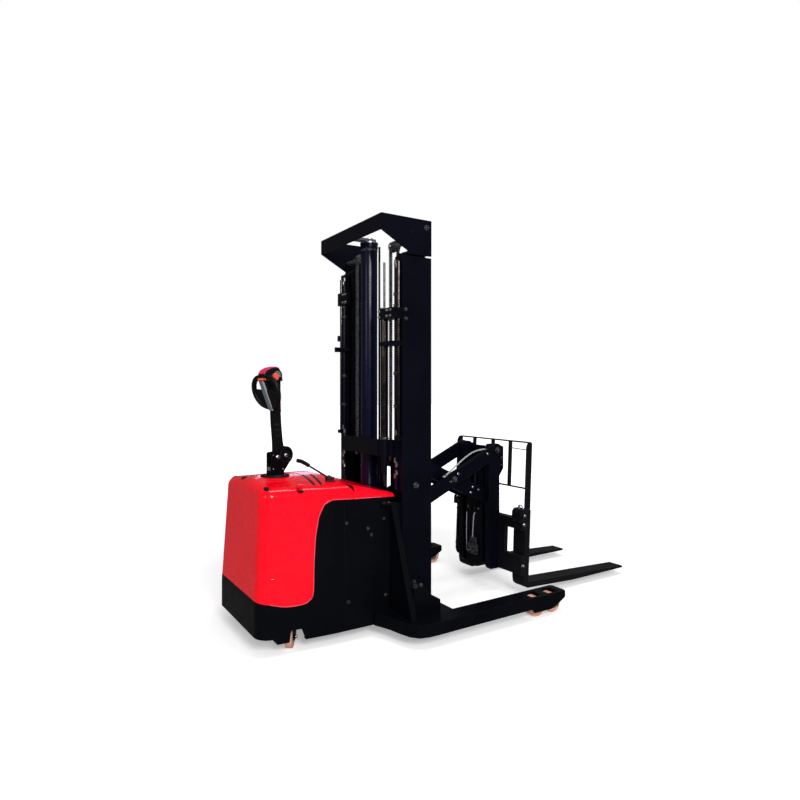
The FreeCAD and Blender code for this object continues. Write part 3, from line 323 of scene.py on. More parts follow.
class Form:
    """A piece in the making: closed solids gathered in one mesh, in millimetres from the mast's rear face."""

    def __init__(self, name):
        self.name = name
        self.bm = bmesh.new()

    def skin(self, rings, closed=False):
        """Faces between rings of equally many points; ends capped, or the last joined to the first."""
        loops = [[self.bm.verts.new(at(*point)) for point in ring] for ring in rings]
        pairs = list(zip(loops, loops[1:])) + ([(loops[-1], loops[0])] if closed else [])
        for low, high in pairs:
            for n in range(len(low)):
                self.bm.faces.new((low[n - 1], low[n], high[n], high[n - 1]))
        if not closed:
            self.bm.faces.new(loops[0])
            self.bm.faces.new(loops[-1])
        return self

    def plate(self, outline, axis, low, high):
        """Flat plate across one axis; the outline gives the other two in their order."""
        order = {"x": lambda a, b, c: (c, a, b), "y": lambda a, b, c: (a, c, b), "z": lambda a, b, c: (a, b, c)}
        return self.skin([[order[axis](a, b, c) for a, b in outline] for c in (low, high)])

    def block(self, x0, x1, y0, y1, z0, z1):
        return self.plate([(x0, y0), (x1, y0), (x1, y1), (x0, y1)], "z", z0, z1)

    def lathe(self, profile, foot, axis, steps=28):
        """Turned solid; the profile gives distance along the axis and radius."""
        axis, turn = spokes(axis, steps)
        return self.skin([[Vector(foot) + axis * along + spoke * radius for spoke in turn]
                          for along, radius in profile])

    def hub(self, profile, centre, steps=28):
        """The same turned solid on both faces of a wheel."""
        for face in (-1, 1):
            self.lathe(profile, centre, (0, face, 0), steps)
        return self

    def hoop(self, centre, axis, radius, thick, steps=28, sides=10):
        """Ring of round bar."""
        axis, turn = spokes(axis, steps)
        return self.skin([[Vector(centre) + spoke * (radius + thick * math.cos(a)) + axis * thick * math.sin(a)
                           for a in around(sides)] for spoke in turn], closed=True)

    def tube(self, points, radius, sides=12, cuts=7):
        """Round bar or hose bent smoothly through the points."""
        line = smooth_line(points, cuts)
        heading = (line[1] - line[0]).normalized()
        across = heading.orthogonal().normalized()
        rings = []
        for n, point in enumerate(line):
            ahead = (line[min(n + 1, len(line) - 1)] - line[max(n - 1, 0)]).normalized()
            across = (across - ahead * across.dot(ahead)).normalized()
            other = ahead.cross(across)
            rings.append([point + (across * math.cos(a) + other * math.sin(a)) * radius for a in around(sides)])
        return self.skin(rings)

    def mirror(self):
        """Adds the same on the other side of the centre plane."""
        copy = bmesh.ops.duplicate(self.bm, geom=self.bm.verts[:] + self.bm.edges[:] + self.bm.faces[:])
        for vert in copy["geom"]:
            if isinstance(vert, bmesh.types.BMVert):
                vert.co.y = -vert.co.y
        return self

    def ride(self, body, finish, edge=0.6, turn=None):
        """Makes the object, rounds its edges by edge millimetres and seats it on the body."""
        bmesh.ops.recalc_face_normals(self.bm, faces=self.bm.faces)
        if turn:
            bmesh.ops.transform(self.bm, matrix=turn, verts=self.bm.verts)
        mesh = bpy.data.meshes.new(self.name)
        self.bm.to_mesh(mesh)
        self.bm.free()
        mesh.materials.append(finish)
        mesh.polygons.foreach_set("use_smooth", [True] * len(mesh.polygons))
        mesh.set_sharp_from_angle(angle=SHARP)
        piece = placed(self.name, mesh)
        if edge:
            soft = piece.modifiers.new("soft_edges", "BEVEL")
            soft.width = edge / 1000
            soft.segments = 2
            soft.limit_method = "ANGLE"
            soft.angle_limit = SOFTENED
        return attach(piece, body)


# ---- grown pieces: bolts, screws, ferrules, louvres, leaf chain ----
def new_tree(name, **sizes):
    """A Geometry Nodes tree with its sizes and its finish as named inputs, and those inputs."""
    tree = bpy.data.node_groups.new(name, "GeometryNodeTree")
    sockets = [("Geometry", "INPUT", "NodeSocketGeometry"), ("Geometry", "OUTPUT", "NodeSocketGeometry"),
               ("Finish", "INPUT", "NodeSocketMaterial")]
    for label, way, kind in sockets:
        tree.interface.new_socket(label, in_out=way, socket_type=kind)
    for label, value in sizes.items():
        kind = "NodeSocketInt" if isinstance(value, int) else "NodeSocketFloat"
        tree.interface.new_socket(label, in_out="INPUT", socket_type=kind).default_value = value
    return tree, add(tree, "NodeGroupInput").outputs


def joined(tree, shapes):
    join = add(tree, "GeometryNodeJoinGeometry")
    for shape in shapes:
        tree.links.new(shape.outputs[0], join.inputs[0])
    return join


def raised(tree, shape, height):
    """Moves a shape up its own z."""
    shift = add(tree, XYZ, {"Z": height})
    return add(tree, MOVE, {"Geometry": shape, "Translation": shift})


def seat_parts(tree, given, parts):
    """Seats the joined parts on every point along its facing and ends the tree."""
    facing = add(tree, "GeometryNodeInputNamedAttribute", {"Name": "facing"}, data_type="FLOAT_VECTOR")
    turn = add(tree, "FunctionNodeAlignRotationToVector", {"Vector": facing}, axis="Z")
    whole = joined(tree, parts)
    everywhere = add(tree, ON_POINTS, {"Points": given["Geometry"], "Instance": whole, "Rotation": turn})
    real = add(tree, REALIZE, {"Geometry": everywhere})
    finished = add(tree, "GeometryNodeSetMaterial", {"Geometry": real, "Material": given["Finish"]})
    add(tree, "NodeGroupOutput", {0: finished})
    return tree


def grow(tree, name, spots, body, finish, turn=None, **sizes):
    """Runs a tree on spots, pairs of place and facing, into one plain mesh that rides on the body, if any."""
    mesh = bpy.data.meshes.new(name)
    mesh.from_pydata([at(*place) for place, facing in spots], [], [])
    facing = mesh.attributes.new("facing", "FLOAT_VECTOR", "POINT")
    facing.data.foreach_set("vector", [number for spot in spots for number in spot[1]])
    piece = placed(name, mesh)
    run = piece.modifiers.new("grow", "NODES")
    run.node_group = tree
    given = {"Finish": finish, **sizes}
    for item in tree.interface.items_tree:
        if item.in_out == "INPUT" and item.name in given:
            run[item.identifier] = given[item.name]
    scene_now = bpy.context.evaluated_depsgraph_get()
    grown = bpy.data.meshes.new_from_object(piece.evaluated_get(scene_now))
    piece.modifiers.clear()
    piece.data = grown
    if turn:
        grown.transform(turn)
    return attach(piece, body) if body else piece


def hex_bolt_tree():
    """Washer and hexagon head with a low turned face."""
    tree, given = new_tree("hex_bolts", Flats=0.013, Head=0.006, Washer=0.011, Washer_thick=0.0015)
    flats, head, thick = given["Flats"], given["Head"], given["Washer_thick"]
    washer = add(tree, CYLINDER, {"Vertices": 20, "Radius": given["Washer"], "Depth": thick})
    hexagon = add(tree, CYLINDER, {"Vertices": 6, "Radius": (flats, 0.577), "Depth": head})
    cone = {"Vertices": 18, "Radius Bottom": (flats, 0.49), "Radius Top": (flats, 0.42), "Depth": (head, 0.16)}
    face = add(tree, "GeometryNodeMeshCone", cone)
    middle, top = (add(tree, MATHS, {0: head, 1: share, 2: thick}, operation="MULTIPLY_ADD")
                   for share in (0.5, 1.0))
    stack = ((washer, (thick, 0.5)), (hexagon, middle), (face, top))
    return seat_parts(tree, given, [raised(tree, shape, height) for shape, height in stack])


def socket_screw_tree():
    """Round cap screw with its hexagon socket."""
    tree, given = new_tree("socket_screws", Radius=0.004, Head=0.003)
    radius, head = given["Radius"], given["Head"]
    cap = add(tree, CYLINDER, {"Vertices": 20, "Radius": radius, "Depth": head})
    socket = add(tree, CYLINDER, {"Vertices": 6, "Radius": (radius, 0.5), "Depth": head})
    solids = {"Mesh 1": raised(tree, cap, (head, 0.5)), "Mesh 2": raised(tree, socket, (head, 1.1))}
    pierced = add(tree, "GeometryNodeMeshBoolean", solids, operation="DIFFERENCE", solver="EXACT")
    return seat_parts(tree, given, [pierced])


def collar_tree():
    """Crimped ferrule with a hexagon above it, for the ends of hydraulic lines."""
    tree, given = new_tree("line_collars", Radius=0.0068, Long=0.018)
    radius, long = given["Radius"], given["Long"]
    sleeve = add(tree, CYLINDER, {"Vertices": 20, "Radius": radius, "Depth": long})
    nut = add(tree, CYLINDER, {"Vertices": 6, "Radius": (radius, 1.06), "Depth": (long, 0.4)})
    return seat_parts(tree, given, [sleeve, raised(tree, nut, (long, 0.72))])


def louvre_tree():
    """Row of slots pressed out of a panel: slanted blades one above the other."""
    tree, given = new_tree("louvres", Blade_long=0.06, Pitch=0.014, Blades=5)
    step = add(tree, XYZ, {"Y": given["Pitch"]})
    row = add(tree, "GeometryNodeMeshLine", {"Count": given["Blades"], "Offset": step})
    size = add(tree, XYZ, {"X": given["Blade_long"], "Y": (given["Pitch"], 0.5), "Z": 0.0022})
    blade = add(tree, "GeometryNodeMeshCube", {"Size": size})
    slanted = add(tree, MOVE, {"Geometry": blade, "Rotation": (0.16, 0, 0)})
    many = add(tree, ON_POINTS, {"Points": row, "Instance": slanted})
    return seat_parts(tree, given, [add(tree, REALIZE, {"Geometry": many})])


def leaf_chain_tree():
    """Leaf chain: oval plates laced in two staggered rows, with their pins."""
    tree, given = new_tree("leaf_chain", Pitch=0.0127, Links=80, Plate_wide=0.0145, Chain_wide=0.020)
    pitch, plate_wide, wide = given["Pitch"], given["Plate_wide"], given["Chain_wide"]
    step = add(tree, XYZ, {"Z": pitch})
    line = add(tree, "GeometryNodeMeshLine", {"Count": given["Links"], "Offset": step})
    plate, pin = (add(tree, CYLINDER, {"Vertices": sides, "Radius": (plate_wide, share), "Depth": (wide, long)})
                  for sides, share, long in ((12, 0.5, 0.15), (8, 0.18, 1.02)))
    # part, its depth and height against a round one, its place across in chain widths, half a pitch up or not
    rows = [(plate, 0.62, 0.9, side, 0.0) for side in (-0.2, 0.2)]
    rows += [(plate, 1.0, 0.72, side, 0.5) for side in (-0.4, 0.0, 0.4)]
    laid = []
    for part, deep, tall, side, up in rows + [(pin, 1.0, 1.0, 0.0, 0.0), (pin, 1.0, 1.0, 0.0, 0.5)]:
        place = add(tree, XYZ, {"Y": (wide, side), "Z": (pitch, up)})
        laid.append(add(tree, MOVE, {"Geometry": part, "Translation": place, "Rotation": (math.pi / 2, 0, 0),
                                     "Scale": (deep, tall, 1.0)}))
    run = add(tree, ON_POINTS, {"Points": line, "Instance": joined(tree, laid)})
    return seat_parts(tree, given, [add(tree, REALIZE, {"Geometry": run})])


HEX_BOLTS, SOCKET_SCREWS, COLLARS = hex_bolt_tree(), socket_screw_tree(), collar_tree()
LOUVRES, LEAF_CHAIN = louvre_tree(), leaf_chain_tree()


def bolts(name, spots, body, finish, flats, head, washer, thick=1.5, turn=None):
    """Hexagon bolts: width over the flats, height of the head, radius and thickness of the washer."""
    grow(HEX_BOLTS, name, spots, body, finish, turn, Flats=flats / 1000, Head=head / 1000, Washer=washer / 1000,
         Washer_thick=thick / 1000)


def screws(name, spots, body, radius, head, turn=None):
    """Zinc-plated socket screws: radius and height of the head."""
    grow(SOCKET_SCREWS, name, spots, body, ZINC, turn, Radius=radius / 1000, Head=head / 1000)


# ---- seating pieces on the skins of the CAD nodes ----
def skin_of(*names):
    """Search trees of CAD nodes, to seat pieces on their surface."""
    scene_now = bpy.context.evaluated_depsgraph_get()
    return [BVHTree.FromObject(nodes[name], scene_now) for name in names]


HOOD_SKIN = skin_of("hood", "chassis", "battery_cover")


def seated(start, heading):
    """Where a line from start first meets the bodywork: the place in millimetres and the facing there."""
    heading = Vector(heading).normalized()
    best = None
    for skin in HOOD_SKIN:
        place, normal, _, far = skin.ray_cast(at(*start), heading)
        if place and (best is None or far < best[2]):
            best = (place, normal, far)
    place, normal, _ = best
    if normal.dot(heading) > 0:
        normal = -normal
    return ((place.x + ROW_SHIFT) * 1000, place.y * 1000, place.z * 1000), tuple(normal)


def on_roof(x, y):
    """Place and facing on the hood or cover below x, y."""
    return seated((x, y, 900), DOWN)


def on_side(x, z, side=-1):
    return seated((x, side * 420, z), (0, -side, 0))


def on_rear(y, z):
    return seated((-800, y, z), FORWARD)


def both(spots):
    """The spots and their likes on the other side."""
    return spots + [((x, -y, z), (a, -b, c)) for (x, y, z), (a, b, c) in spots]


# ---- tiller head, arm and steering column ----
def off_joint(points):
    """Outline points counted from the tiller's joint."""
    return [(JOINT_X + dx, JOINT_Z + dz) for dx, dz in points]


def from_joint(x, y, z):
    return JOINT_X + x, y, JOINT_Z + z


class JointForm(Form):
    """A piece whose blocks are counted from the tiller's joint."""

    def block(self, x0, x1, y0, y1, z0, z1):
        return super().block(JOINT_X + x0, JOINT_X + x1, y0, y1, JOINT_Z + z0, JOINT_Z + z1)


def tiller_pieces():
    cap = [(-88.6, 419), (-77.6, 436), (-50.6, 450.4), (-18, 456.8), (3, 451.4), (9, 444),
           (-4, 440), (-20, 446), (-48, 440), (-68, 428), (-80, 417)]
    Form("tiller_cap").plate(off_joint(cap), "y", -25, 25).ride("tiller", CAP_MAGENTA, 2.0, STEERED)
    patch = [(-34, 404), (-24, 430), (-6, 436), (8, 428), (14, 404)]
    keys = Form("tiller_side_keys").plate(off_joint(patch), "y", 28, 30.2)
    keys.mirror().ride("tiller", KEY_GREY, 0.8, STEERED)
    band = JointForm("tiller_strip")
    for x0, x1, y0, y1 in ((-91.4, -89, -24, 24), (-88, -50, 28, 30.4), (-88, -50, -30.4, -28)):
        band.block(x0, x1, y0, y1, 386.5, 396.5)
    band.ride("tiller", SIGNAL_ORANGE, 0.8, STEERED)
    thumb = JointForm("tiller_thumb_wheels")
    wheel = [(27, 10), (27.5, 19), (33, 20), (37, 16.5), (38, 9), (37.6, 0.5)]
    thumb.lathe(wheel, from_joint(-24, 0, 404), LEFT)
    for n in range(3):
        a = math.radians(20 + 120 * n)
        x, z = -24 + 17 * math.cos(a), 404 + 17 * math.sin(a)
        thumb.block(x - 4, x + 4, 30, 40.5, z - 4, z + 4)
    thumb.mirror().ride("tiller", THUMB_RED, 1.0, STEERED)
    spine = off_joint([(-92.1, 382), (-29.7, 234), (-21.4, 237.4), (-83.8, 385.4)])
    Form("tiller_spine_panel").plate(spine, "y", -11, 16).ride("tiller", KEY_GREY, 1.2, STEERED)
    # the spine panel's near edge in the lighter grey: a painted highlight
    Form("tiller_spine_edge").plate(spine, "y", -16.2, -11.4).ride("tiller", KEY_GREY_LIT, 1.2, STEERED)
    belly = Form("tiller_reverse_button")
    belly.lathe([(0, 13), (5, 13), (8, 11), (9.5, 6), (9.8, 0.5)], from_joint(20, 0, 405), (1, 0, 0.08))
    belly.ride("tiller", THUMB_RED, 0.5, STEERED)
    JointForm("tiller_gauge").block(-90.6, -88, -13, 13, 400.5, 403.5).ride("tiller", DARK_TRIM, 0.4, STEERED)
    rib = JointForm("tiller_arm_ribs")
    for z, x0, x1 in ((100, -11.5, 30), (128, -14.5, 27), (156, -17.5, 24)):
        rib.block(x0, x1, -14.6, -13, z, z + 14)
    rib.mirror().ride("tiller", DARK_TRIM, 0.6, STEERED)
    head = [(-62, -29, 400), (-4, -29, 398), (-34, -16, 330), (-8, -16, 250)]
    screws("tiller_head_screws", both([(from_joint(*p), RIGHT) for p in head]), "tiller", 3.2, 2.2, STEERED)
    joint = both([(from_joint(x, -20, z), RIGHT) for x, z in ((0, 0), (51, 6))])
    bolts("tiller_joint_bolts", joint, "turret", ZINC, 16, 6, 11.5, 2.5, STEERED)
    socket = both([(from_joint(x, -20, z), RIGHT) for x, z in ((-30, -58), (30, -62), (-30, 12), (76, -12))])
    screws("tiller_socket_screws", socket, "turret", 4, 3, STEERED)
    ring = Form("tiller_disc_rings")
    for radius, thick, steps in ((36, 1.6, 40), (20, 1.4, 32)):
        ring.hoop(from_joint(51, 20.2, 6), LEFT, radius, thick, steps)
    ring.mirror().ride("turret", DARK_TRIM, 0, STEERED)
    panel = JointForm("tiller_socket_panel").block(-42.4, -40, -12, 12, -66, -48)
    panel.ride("turret", KEY_GREY, 0.6, STEERED)
    Form("tiller_base_ring").hoop((STEER_X, 0, 778.0), UP, 68, 5.5, 48).ride("truck", RUBBER, 0)
    top = Form("column_cover").lathe([(779, 52), (781.5, 52), (784, 49), (784.5, 30)], (STEER_X, 0, 0), UP, 40)
    top.ride("turret", DARK_TRIM, 0.5, STEERED)


# ---- hood: trim lines, caps, lever, knob, slots ----
def oval(x, y, wide, deep, steps=26):
    return [(x + wide * math.cos(a), y + deep * math.sin(a)) for a in around(steps)]


# the border between the red hood and the black plates, seen from the side
HOOD_BORDER = [(-690, 237), (-620, 217), (-540, 215), (-502, 229), (-483, 264), (-477, 400), (-467, 520),
               (-449, 610), (-421, 664), (-382, 684), (-300, 681), (-200, 677.5), (-110, 673.5)]
RIDGE_Z = 352                 # step across the hood's rear face
SEAM_X = -262.5               # joint of hood and battery cover


def hood_pieces():
    # thin pale rose tubes along the border: a painted highlight of the hood's edge
    for side, word in ((-1, "right"), (1, "left")):
        line = [on_side(x, z + 1.5, side)[0] for x, z in HOOD_BORDER]
        Form(f"hood_border_{word}").tube(line, 1.3, 8, 4).ride("truck", HOOD_EDGE_HIGHLIGHT, 0)
    caps = Form("hood_caps")
    for x, y, wide, deep in ((-690, 60, 12, 24), (-682, -238, 12, 22), (-682, 238, 12, 22)):
        rings = []
        for share, lift in ((1.0, -3.0), (1.0, 1.0), (0.85, 1.6), (0.5, 1.8), (0.1, 1.8)):
            edge = [on_roof(a, b)[0] for a, b in oval(x, y, wide * share, deep * share)]
            rings.append([(a, b, c + lift) for a, b, c in edge])
        caps.skin(rings)
    caps.ride("truck", DARK_TRIM, 0.5)
    slots = Form("hood_slots")
    for x0, x1 in ((-417, -448), (-371, -412)):
        rings = []
        for n in range(9):
            y = -40 - n * 27
            x = x0 + (x1 - x0) * n / 8
            z = on_roof(x, y)[0][2]
            rings.append([(x - 7, y, z - 3), (x + 7, y, z - 3), (x + 7, y, z + 0.7), (x - 7, y, z + 0.7)])
        slots.skin(rings)
    slots.ride("truck", DARK_TRIM, 0)
    contour = Form("hood_contour")
    for wide, deep in ((128, 150), (96, 118)):
        ring = [on_roof(x, y)[0] for x, y in oval(STEER_X, 0, wide, deep, 40)]
        contour.tube(ring + ring[:1], 1.7, 8, 2)
    contour.ride("truck", FINISH["hood_red"], 0)
    line = [on_side(x, RIDGE_Z, -1)[0] for x in (-640, -680)]
    line += [on_rear(y, RIDGE_Z)[0] for y in range(-270, 271, 45)]
    line += [on_side(x, RIDGE_Z, 1)[0] for x in (-680, -640)]
    line = [(max(x, -744.2), y, z) for x, y, z in line]
    Form("hood_ridge").tube(line, 0.8, 8, 3).ride("truck", FINISH["hood_red"], 0)
    seam = Form("hood_seam")
    breaks = (-308, -276, -200, -100, 0, 100, 200, 276, 308)
    for span in zip(breaks, breaks[1:]):
        heights = [(y, on_roof(-266, y)[0][2]) for y in span]
        seam.skin([[(SEAM_X - 2, y, z - 2), (SEAM_X + 2, y, z - 2), (SEAM_X + 2, y, z + 0.5),
                    (SEAM_X - 2, y, z + 0.5)] for y, z in heights])
    seam.ride("truck", DARK_TRIM, 0)


LEVER_X, LEVER_Y = -344, -208     # fork joint of the valve lever


def lever_pieces():
    x, y, z = on_roof(-534, -285)[0]
    Form("knob_base").plate(oval(x, y, 15, 20), "z", z - 6, z + 4).ride("truck", DARK_TRIM, 1.5)
    knob = Form("emergency_knob")
    knob.lathe([(2, 5), (17, 5), (17.5, 15), (20, 18), (26, 18), (29, 14), (30, 0.5)], (x, y, z), UP)
    knob.ride("truck", FINISH["hood_red"], 0.8)
    y, z = LEVER_Y, on_roof(LEVER_X, LEVER_Y)[0][2]
    clevis = Form("lever_clevis")
    clevis.block(-362, -326, -224, -219, z - 3, z + 20).block(-362, -326, -197, -192, z - 3, z + 20)
    clevis.block(-368, -320, -230, -186, z - 3, z + 3)
    clevis.lathe([(-229, 5), (-187, 5)], (LEVER_X, 0, z + 12), LEFT, 16)
    clevis.ride("truck", LEVER_RED, 0.8)
    rod = Form("lever_rod")
    for shift in (-5.5, 5.5):
        rod.tube([(-342, y + shift, z + 12), (-347, y + shift, z + 24), (-358, y + 1 + shift, 783),
                  (-405, y + 2 + shift, 812), (-462, y + 3 + shift / 2, 848)], 4.2, 10, 5)
    rod.block(-354, -334, -216, -200, z + 4, z + 18)
    rod.ride("truck", LEVER_RED, 0.5)
    grip = [(x, -205, z) for x, z in ((-454, 843), (-474, 856), (-495, 867), (-517, 873))]
    Form("lever_grip").tube(grip, 9.8, 16, 5).ride("truck", RUBBER, 1.5)


# ---- chassis sides, lower body ----
def side_pieces():
    spots = [on_side(x, z) for x in (-306, -100) for z in (568, 190)] + [on_side(-190, 530), on_side(-171, 495)]
    bolts("side_panel_bolts", both(spots), "truck", BLACKED, 10, 4, 9, 1)
    for side, word in ((-1, "right"), (1, "left")):
        line = [on_side(-318, z, side)[0] for z in (90, 250, 400, 560, 655)]
        Form(f"side_panel_line_{word}").tube(line, 1.2, 8, 3).ride("truck", FINISH["mast_black"], 0)
    grow(LOUVRES, "side_louvres", both([on_side(-200, 300)]), "truck", FINISH["body_black"], Blade_long=0.09,
         Pitch=0.016, Blades=6)
    bolts("shelf_bolts", both([((x, -351, 650), UP) for x in (-116, -88)]), "truck", BLACKED, 10, 5, 8)
    sleeve = [((x, y, 254), UP) for y in (-430, -490) for x in (-22, 10)]
    bolts("leg_sleeve_bolts", both(sleeve), "truck", BLACKED, 19, 10, 14)


# ---- legs and wheels ----
def wheel_pieces():
    proud = 0.8                   # how far an axle's end stands out of the leg
    ends = [((x, y, WHEEL_Z), facing) for y, facing in ((proud - LEG_OUT, RIGHT), (-proud - LEG_IN, LEFT))
            for x in LOAD_AXLES]
    screws("load_axle_ends", both(ends), "truck", 11, 0.7)
    load_face = [(28, 16), (28, 30), (32.8, 30), (32.8, 27), (32.4, 25), (32.4, 16)]
    caster_face = [(11, 9), (11, 24), (15.8, 24), (15.8, 22), (15.3, 19), (15.3, 9)]
    drive_face = [(30, 20), (30, 80), (35.8, 80), (35.8, 74), (35.2, 68), (35.2, 46), (36.6, 40), (36.6, 20)]
    for word, side in (("left", 1), ("right", -1)):
        for count, x in enumerate(LOAD_AXLES, 1):
            hub = Form(f"load_hub_{word}_{count}").hub(load_face, (x, side * WHEEL_Y, WHEEL_Z))
            hub.ride(f"load_wheel_{word}_{count}", ZINC, 0.3)
        x, y = STEER_X - CASTER_TRAIL, side * CASTER_Y
        turn = about(at(STEER_X, y, 0), Matrix.Rotation(CASTER_TURN, 4, "Z"))
        hub = Form(f"caster_hub_{word}").hub(caster_face, (x, y, WHEEL_Z))
        hub.ride(f"caster_wheel_{word}", ZINC, 0.3, turn)
        nuts = [((x, y - 27, WHEEL_Z), RIGHT), ((x, y + 27, WHEEL_Z), LEFT)]
        bolts(f"caster_axle_nuts_{word}", nuts, f"caster_fork_{word}", ZINC, 13, 5, 9, turn=turn)
        race = Form(f"caster_race_{word}").hoop((STEER_X, y, 132), UP, 38.5, 2.4, 32)
        race.ride(f"caster_fork_{word}", ZINC, 0, turn)
    Form("drive_hub").hub(drive_face, (STEER_X, 0, DRIVE_Z), 40).ride("drive_wheel", BLACKED, 0.6, STEERED)
    ring = [((x, -35.2, z), RIGHT) for x, z in oval(STEER_X, DRIVE_Z, 58, 58, 6)]
    bolts("drive_wheel_nuts", both(ring), "drive_wheel", ZINC, 12, 2.2, 8, 1, STEERED)
    motor = [(311, 60), (320, 76), (430, 76), (436, 70), (438, 30)]
    Form("drive_motor").lathe(motor, (STEER_X, 0, 0), UP, 40).ride("turret", BLACKED, 1.0)


# ---- mast ----
def chain_studs(name, body, x, top, long, nut, radius):
    """Threaded rod under a chain's end with its nut and lock nut."""
    studs = Form(name).lathe([(top - long, 6), (top, 6)], (x, CHAIN_Y, 0), UP, 16)
    studs.lathe([(top - nut, radius), (top, radius)], (x, CHAIN_Y, 0), UP, 6)
    studs.lathe([(top - nut - 12, radius), (top - nut - 2, radius)], (x, CHAIN_Y, 0), UP, 6)
    studs.mirror().ride(body, ZINC, 0.5)


def bands_round(name, heights, inner, outer, long, place, steps, edge):
    """Rings round an upright tube."""
    rings = Form(name)
    for z in heights:
        rings.lathe([(z, inner), (z, outer), (z + long, outer), (z + long, inner)], place, UP, steps)
    rings.ride("truck", BLACKED, edge)


def mast_pieces():
    bolts("mast_rail_bolts", both([((20, -342, z), RIGHT) for z in (1625, 1577)]), "truck", BLACKED, 13, 6, 10)
    pad = [(341, 17), (344, 17), (344, 14), (342.5, 14), (342.5, 9), (345, 9), (345, 0.5)]
    Form("mast_pad_screws").lathe(pad, (84, 0, 722), LEFT, 32).mirror().ride("truck", BLACKED, 0.4)
    gland = [(2022, 47.5), (2022, 50.4), (2028.5, 50.4), (2030, 46), (2030, 33), (2022, 33)]
    Form("barrel_gland").lathe(gland, (0, 0, 0), UP, 40).ride("truck", ZINC, 0.5)
    bands_round("barrel_bands", (205, 1980), 45, 47.4, 12, (0, 0, 0), 40, 0.5)
    ends = [(283, 846), (296, 826), (283, 766), (296, 784), (283, 968), (296, 990), (283, 1868), (296, 1850)]
    grow(COLLARS, "line_ferrules", both([((-6.1, y, z), UP) for y, z in ends]), "truck", ZINC, Radius=0.0076,
         Long=0.017)
    clamps, heights = Form("line_clamps"), (1120, 1290, 1640, 1700)
    for z in heights:
        clamps.block(-13.4, 0, 275.5, 303.5, z, z + 16)
    clamps.mirror().ride("truck", BLACKED, 1.0)
    screws("line_clamp_screws", both([((-13.4, 289.5, z + 8), BACK) for z in heights]), "truck", 3.2, 2.2)
    chain_studs("chain_anchor_studs", "truck", 26, 868, 30, 12, 10)
    bands_round("tube_end_rings", (958, 1628), 20.2, 22.4, 10, (*TUBE, 0), 32, 0.4)
    feed_line = [(-40, -230, 770), (-40, -230, 752), (-38, -232, 730), (-36, -234, 712)]
    Form("tube_feed_hose").tube(feed_line, 9, 14, 5).ride("truck", RUBBER, 0)
    block = [((-62, y, z), BACK) for y in (-215, -290, -325) for z in (1590, 1620)]
    bolts("tube_block_bolts", block, "truck", ZINC, 10, 5, 8)
    strip = [((-24, y, z), BACK) for y in (240, 270) for z in (1730, 1776)]
    bolts("upper_strip_bolts", strip, "truck", ZINC, 10, 5, 8)
    port = Form("barrel_port").lathe([(-44, 10), (-56, 10), (-56, 8), (-60, 8)], (0, 0, 236), FORWARD, 6)
    port.tube([(-58, 0, 236), (-68, 12, 244), (-72, 40, 262), (-74, 90, 276), (-74, 150, 280), (-78, 170, 292),
               (-81, 176, 310)], 6.5, 14, 6)
    port.ride("truck", RUBBER, 0.3)


CHAIN_PITCH = 12.7


def chain_pieces():
    """The chains' two runs, fixed here though they lengthen and shorten as the mast moves, and the bend over each
    sheave.
    """
    runs = (("chains_rear", 26, 880, "truck", "inner_mast"),
            ("chains_front", 72, 500, "lift_carriage", "inner_mast"))
    for name, x, foot, low_body, high_body in runs:
        links = int((SHEAVE_Z - foot) / CHAIN_PITCH)
        run = grow(LEAF_CHAIN, "leaf_" + name, both([((x, CHAIN_Y, foot + 4), UP)]), None,
                   FINISH["chain_steel"], Links=links, Pitch=(SHEAVE_Z - foot - 4) / links / 1000)
        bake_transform(run)
        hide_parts(name)
    section = [(16.3, 176.5), (29.5, 176.5), (29.5, 195.5), (16.3, 195.5)]
    turns = [math.pi * (1 - n / 16) for n in range(17)]
    rings = [[(SHEAVE_X + r * math.cos(a), y, SHEAVE_Z + r * math.sin(a)) for r, y in section] for a in turns]
    Form("chain_bends").skin(rings).mirror().ride("inner_mast", FINISH["chain_steel"], 0)


def hat_pieces():
    ring = Form("hat_eyes").hoop((147, 348.4, 2056), LEFT, 13, 2.6, 28)
    ring.lathe([(347, 9), (350.4, 9), (350.4, 0.5)], (147, 0, 2056), LEFT, 24)
    ring.mirror().ride("inner_mast", BLACKED, 0)
    step = [(46, 1996), (76, 1958), (172, 1958), (172, 2000), (120, 2030), (46, 2030)]
    Form("hat_steps").plate(step, "y", 347, 350).mirror().ride("inner_mast", FINISH["mast_black"], 0.8)
    foot = [((x, y, 1924), UP) for x in (60, 120) for y in (262, 310)]
    bolts("hat_foot_bolts", both(foot), "inner_mast", BLACKED, 17, 9, 13)
    bolts("ram_head_bolts", [((x, 0, 2048), UP) for x in (-104, -60)], "inner_mast", ZINC, 17, 9, 13)
    cap = Form("ram_head_cap").lathe([(2048, 24), (2052, 24), (2054, 20), (2054, 0.5)], (0, 0, 0), UP, 32)
    cap.ride("inner_mast", ZINC, 0.4)
    hubs = Form("sheave_hubs").lathe([(168, 8), (166, 8), (166, 0.5)], (SHEAVE_X, 0, SHEAVE_Z), LEFT, 24)
    hubs.mirror().ride("inner_mast", ZINC, 0.3)


# ---- pantograph, reach frame and reach cylinders ----
def on_arm(along, off, rising=True):
    """x and z beside the middle line of an arm: distance along it from its rear end and distance above it."""
    c, s = math.cos(ARM_ANGLE), math.sin(ARM_ANGLE)
    if rising:
        return PIVOT_X + along * c - off * s, PIVOT_Z - ARM_RISE + along * s + off * c
    return PIVOT_X + along * c + off * s, PIVOT_Z - along * s + off * c


def arm_patch(start, end, low, high):
    """Outline of a strip along a rising arm."""
    return [on_arm(start, high), on_arm(end, high), on_arm(end, low), on_arm(start, low)]


def spots_on_arm(points, y, rising=True):
    """Bolt places on an arm's right face."""
    return both([((x, y, z), RIGHT) for x, z in (on_arm(s, o, rising) for s, o in points)])


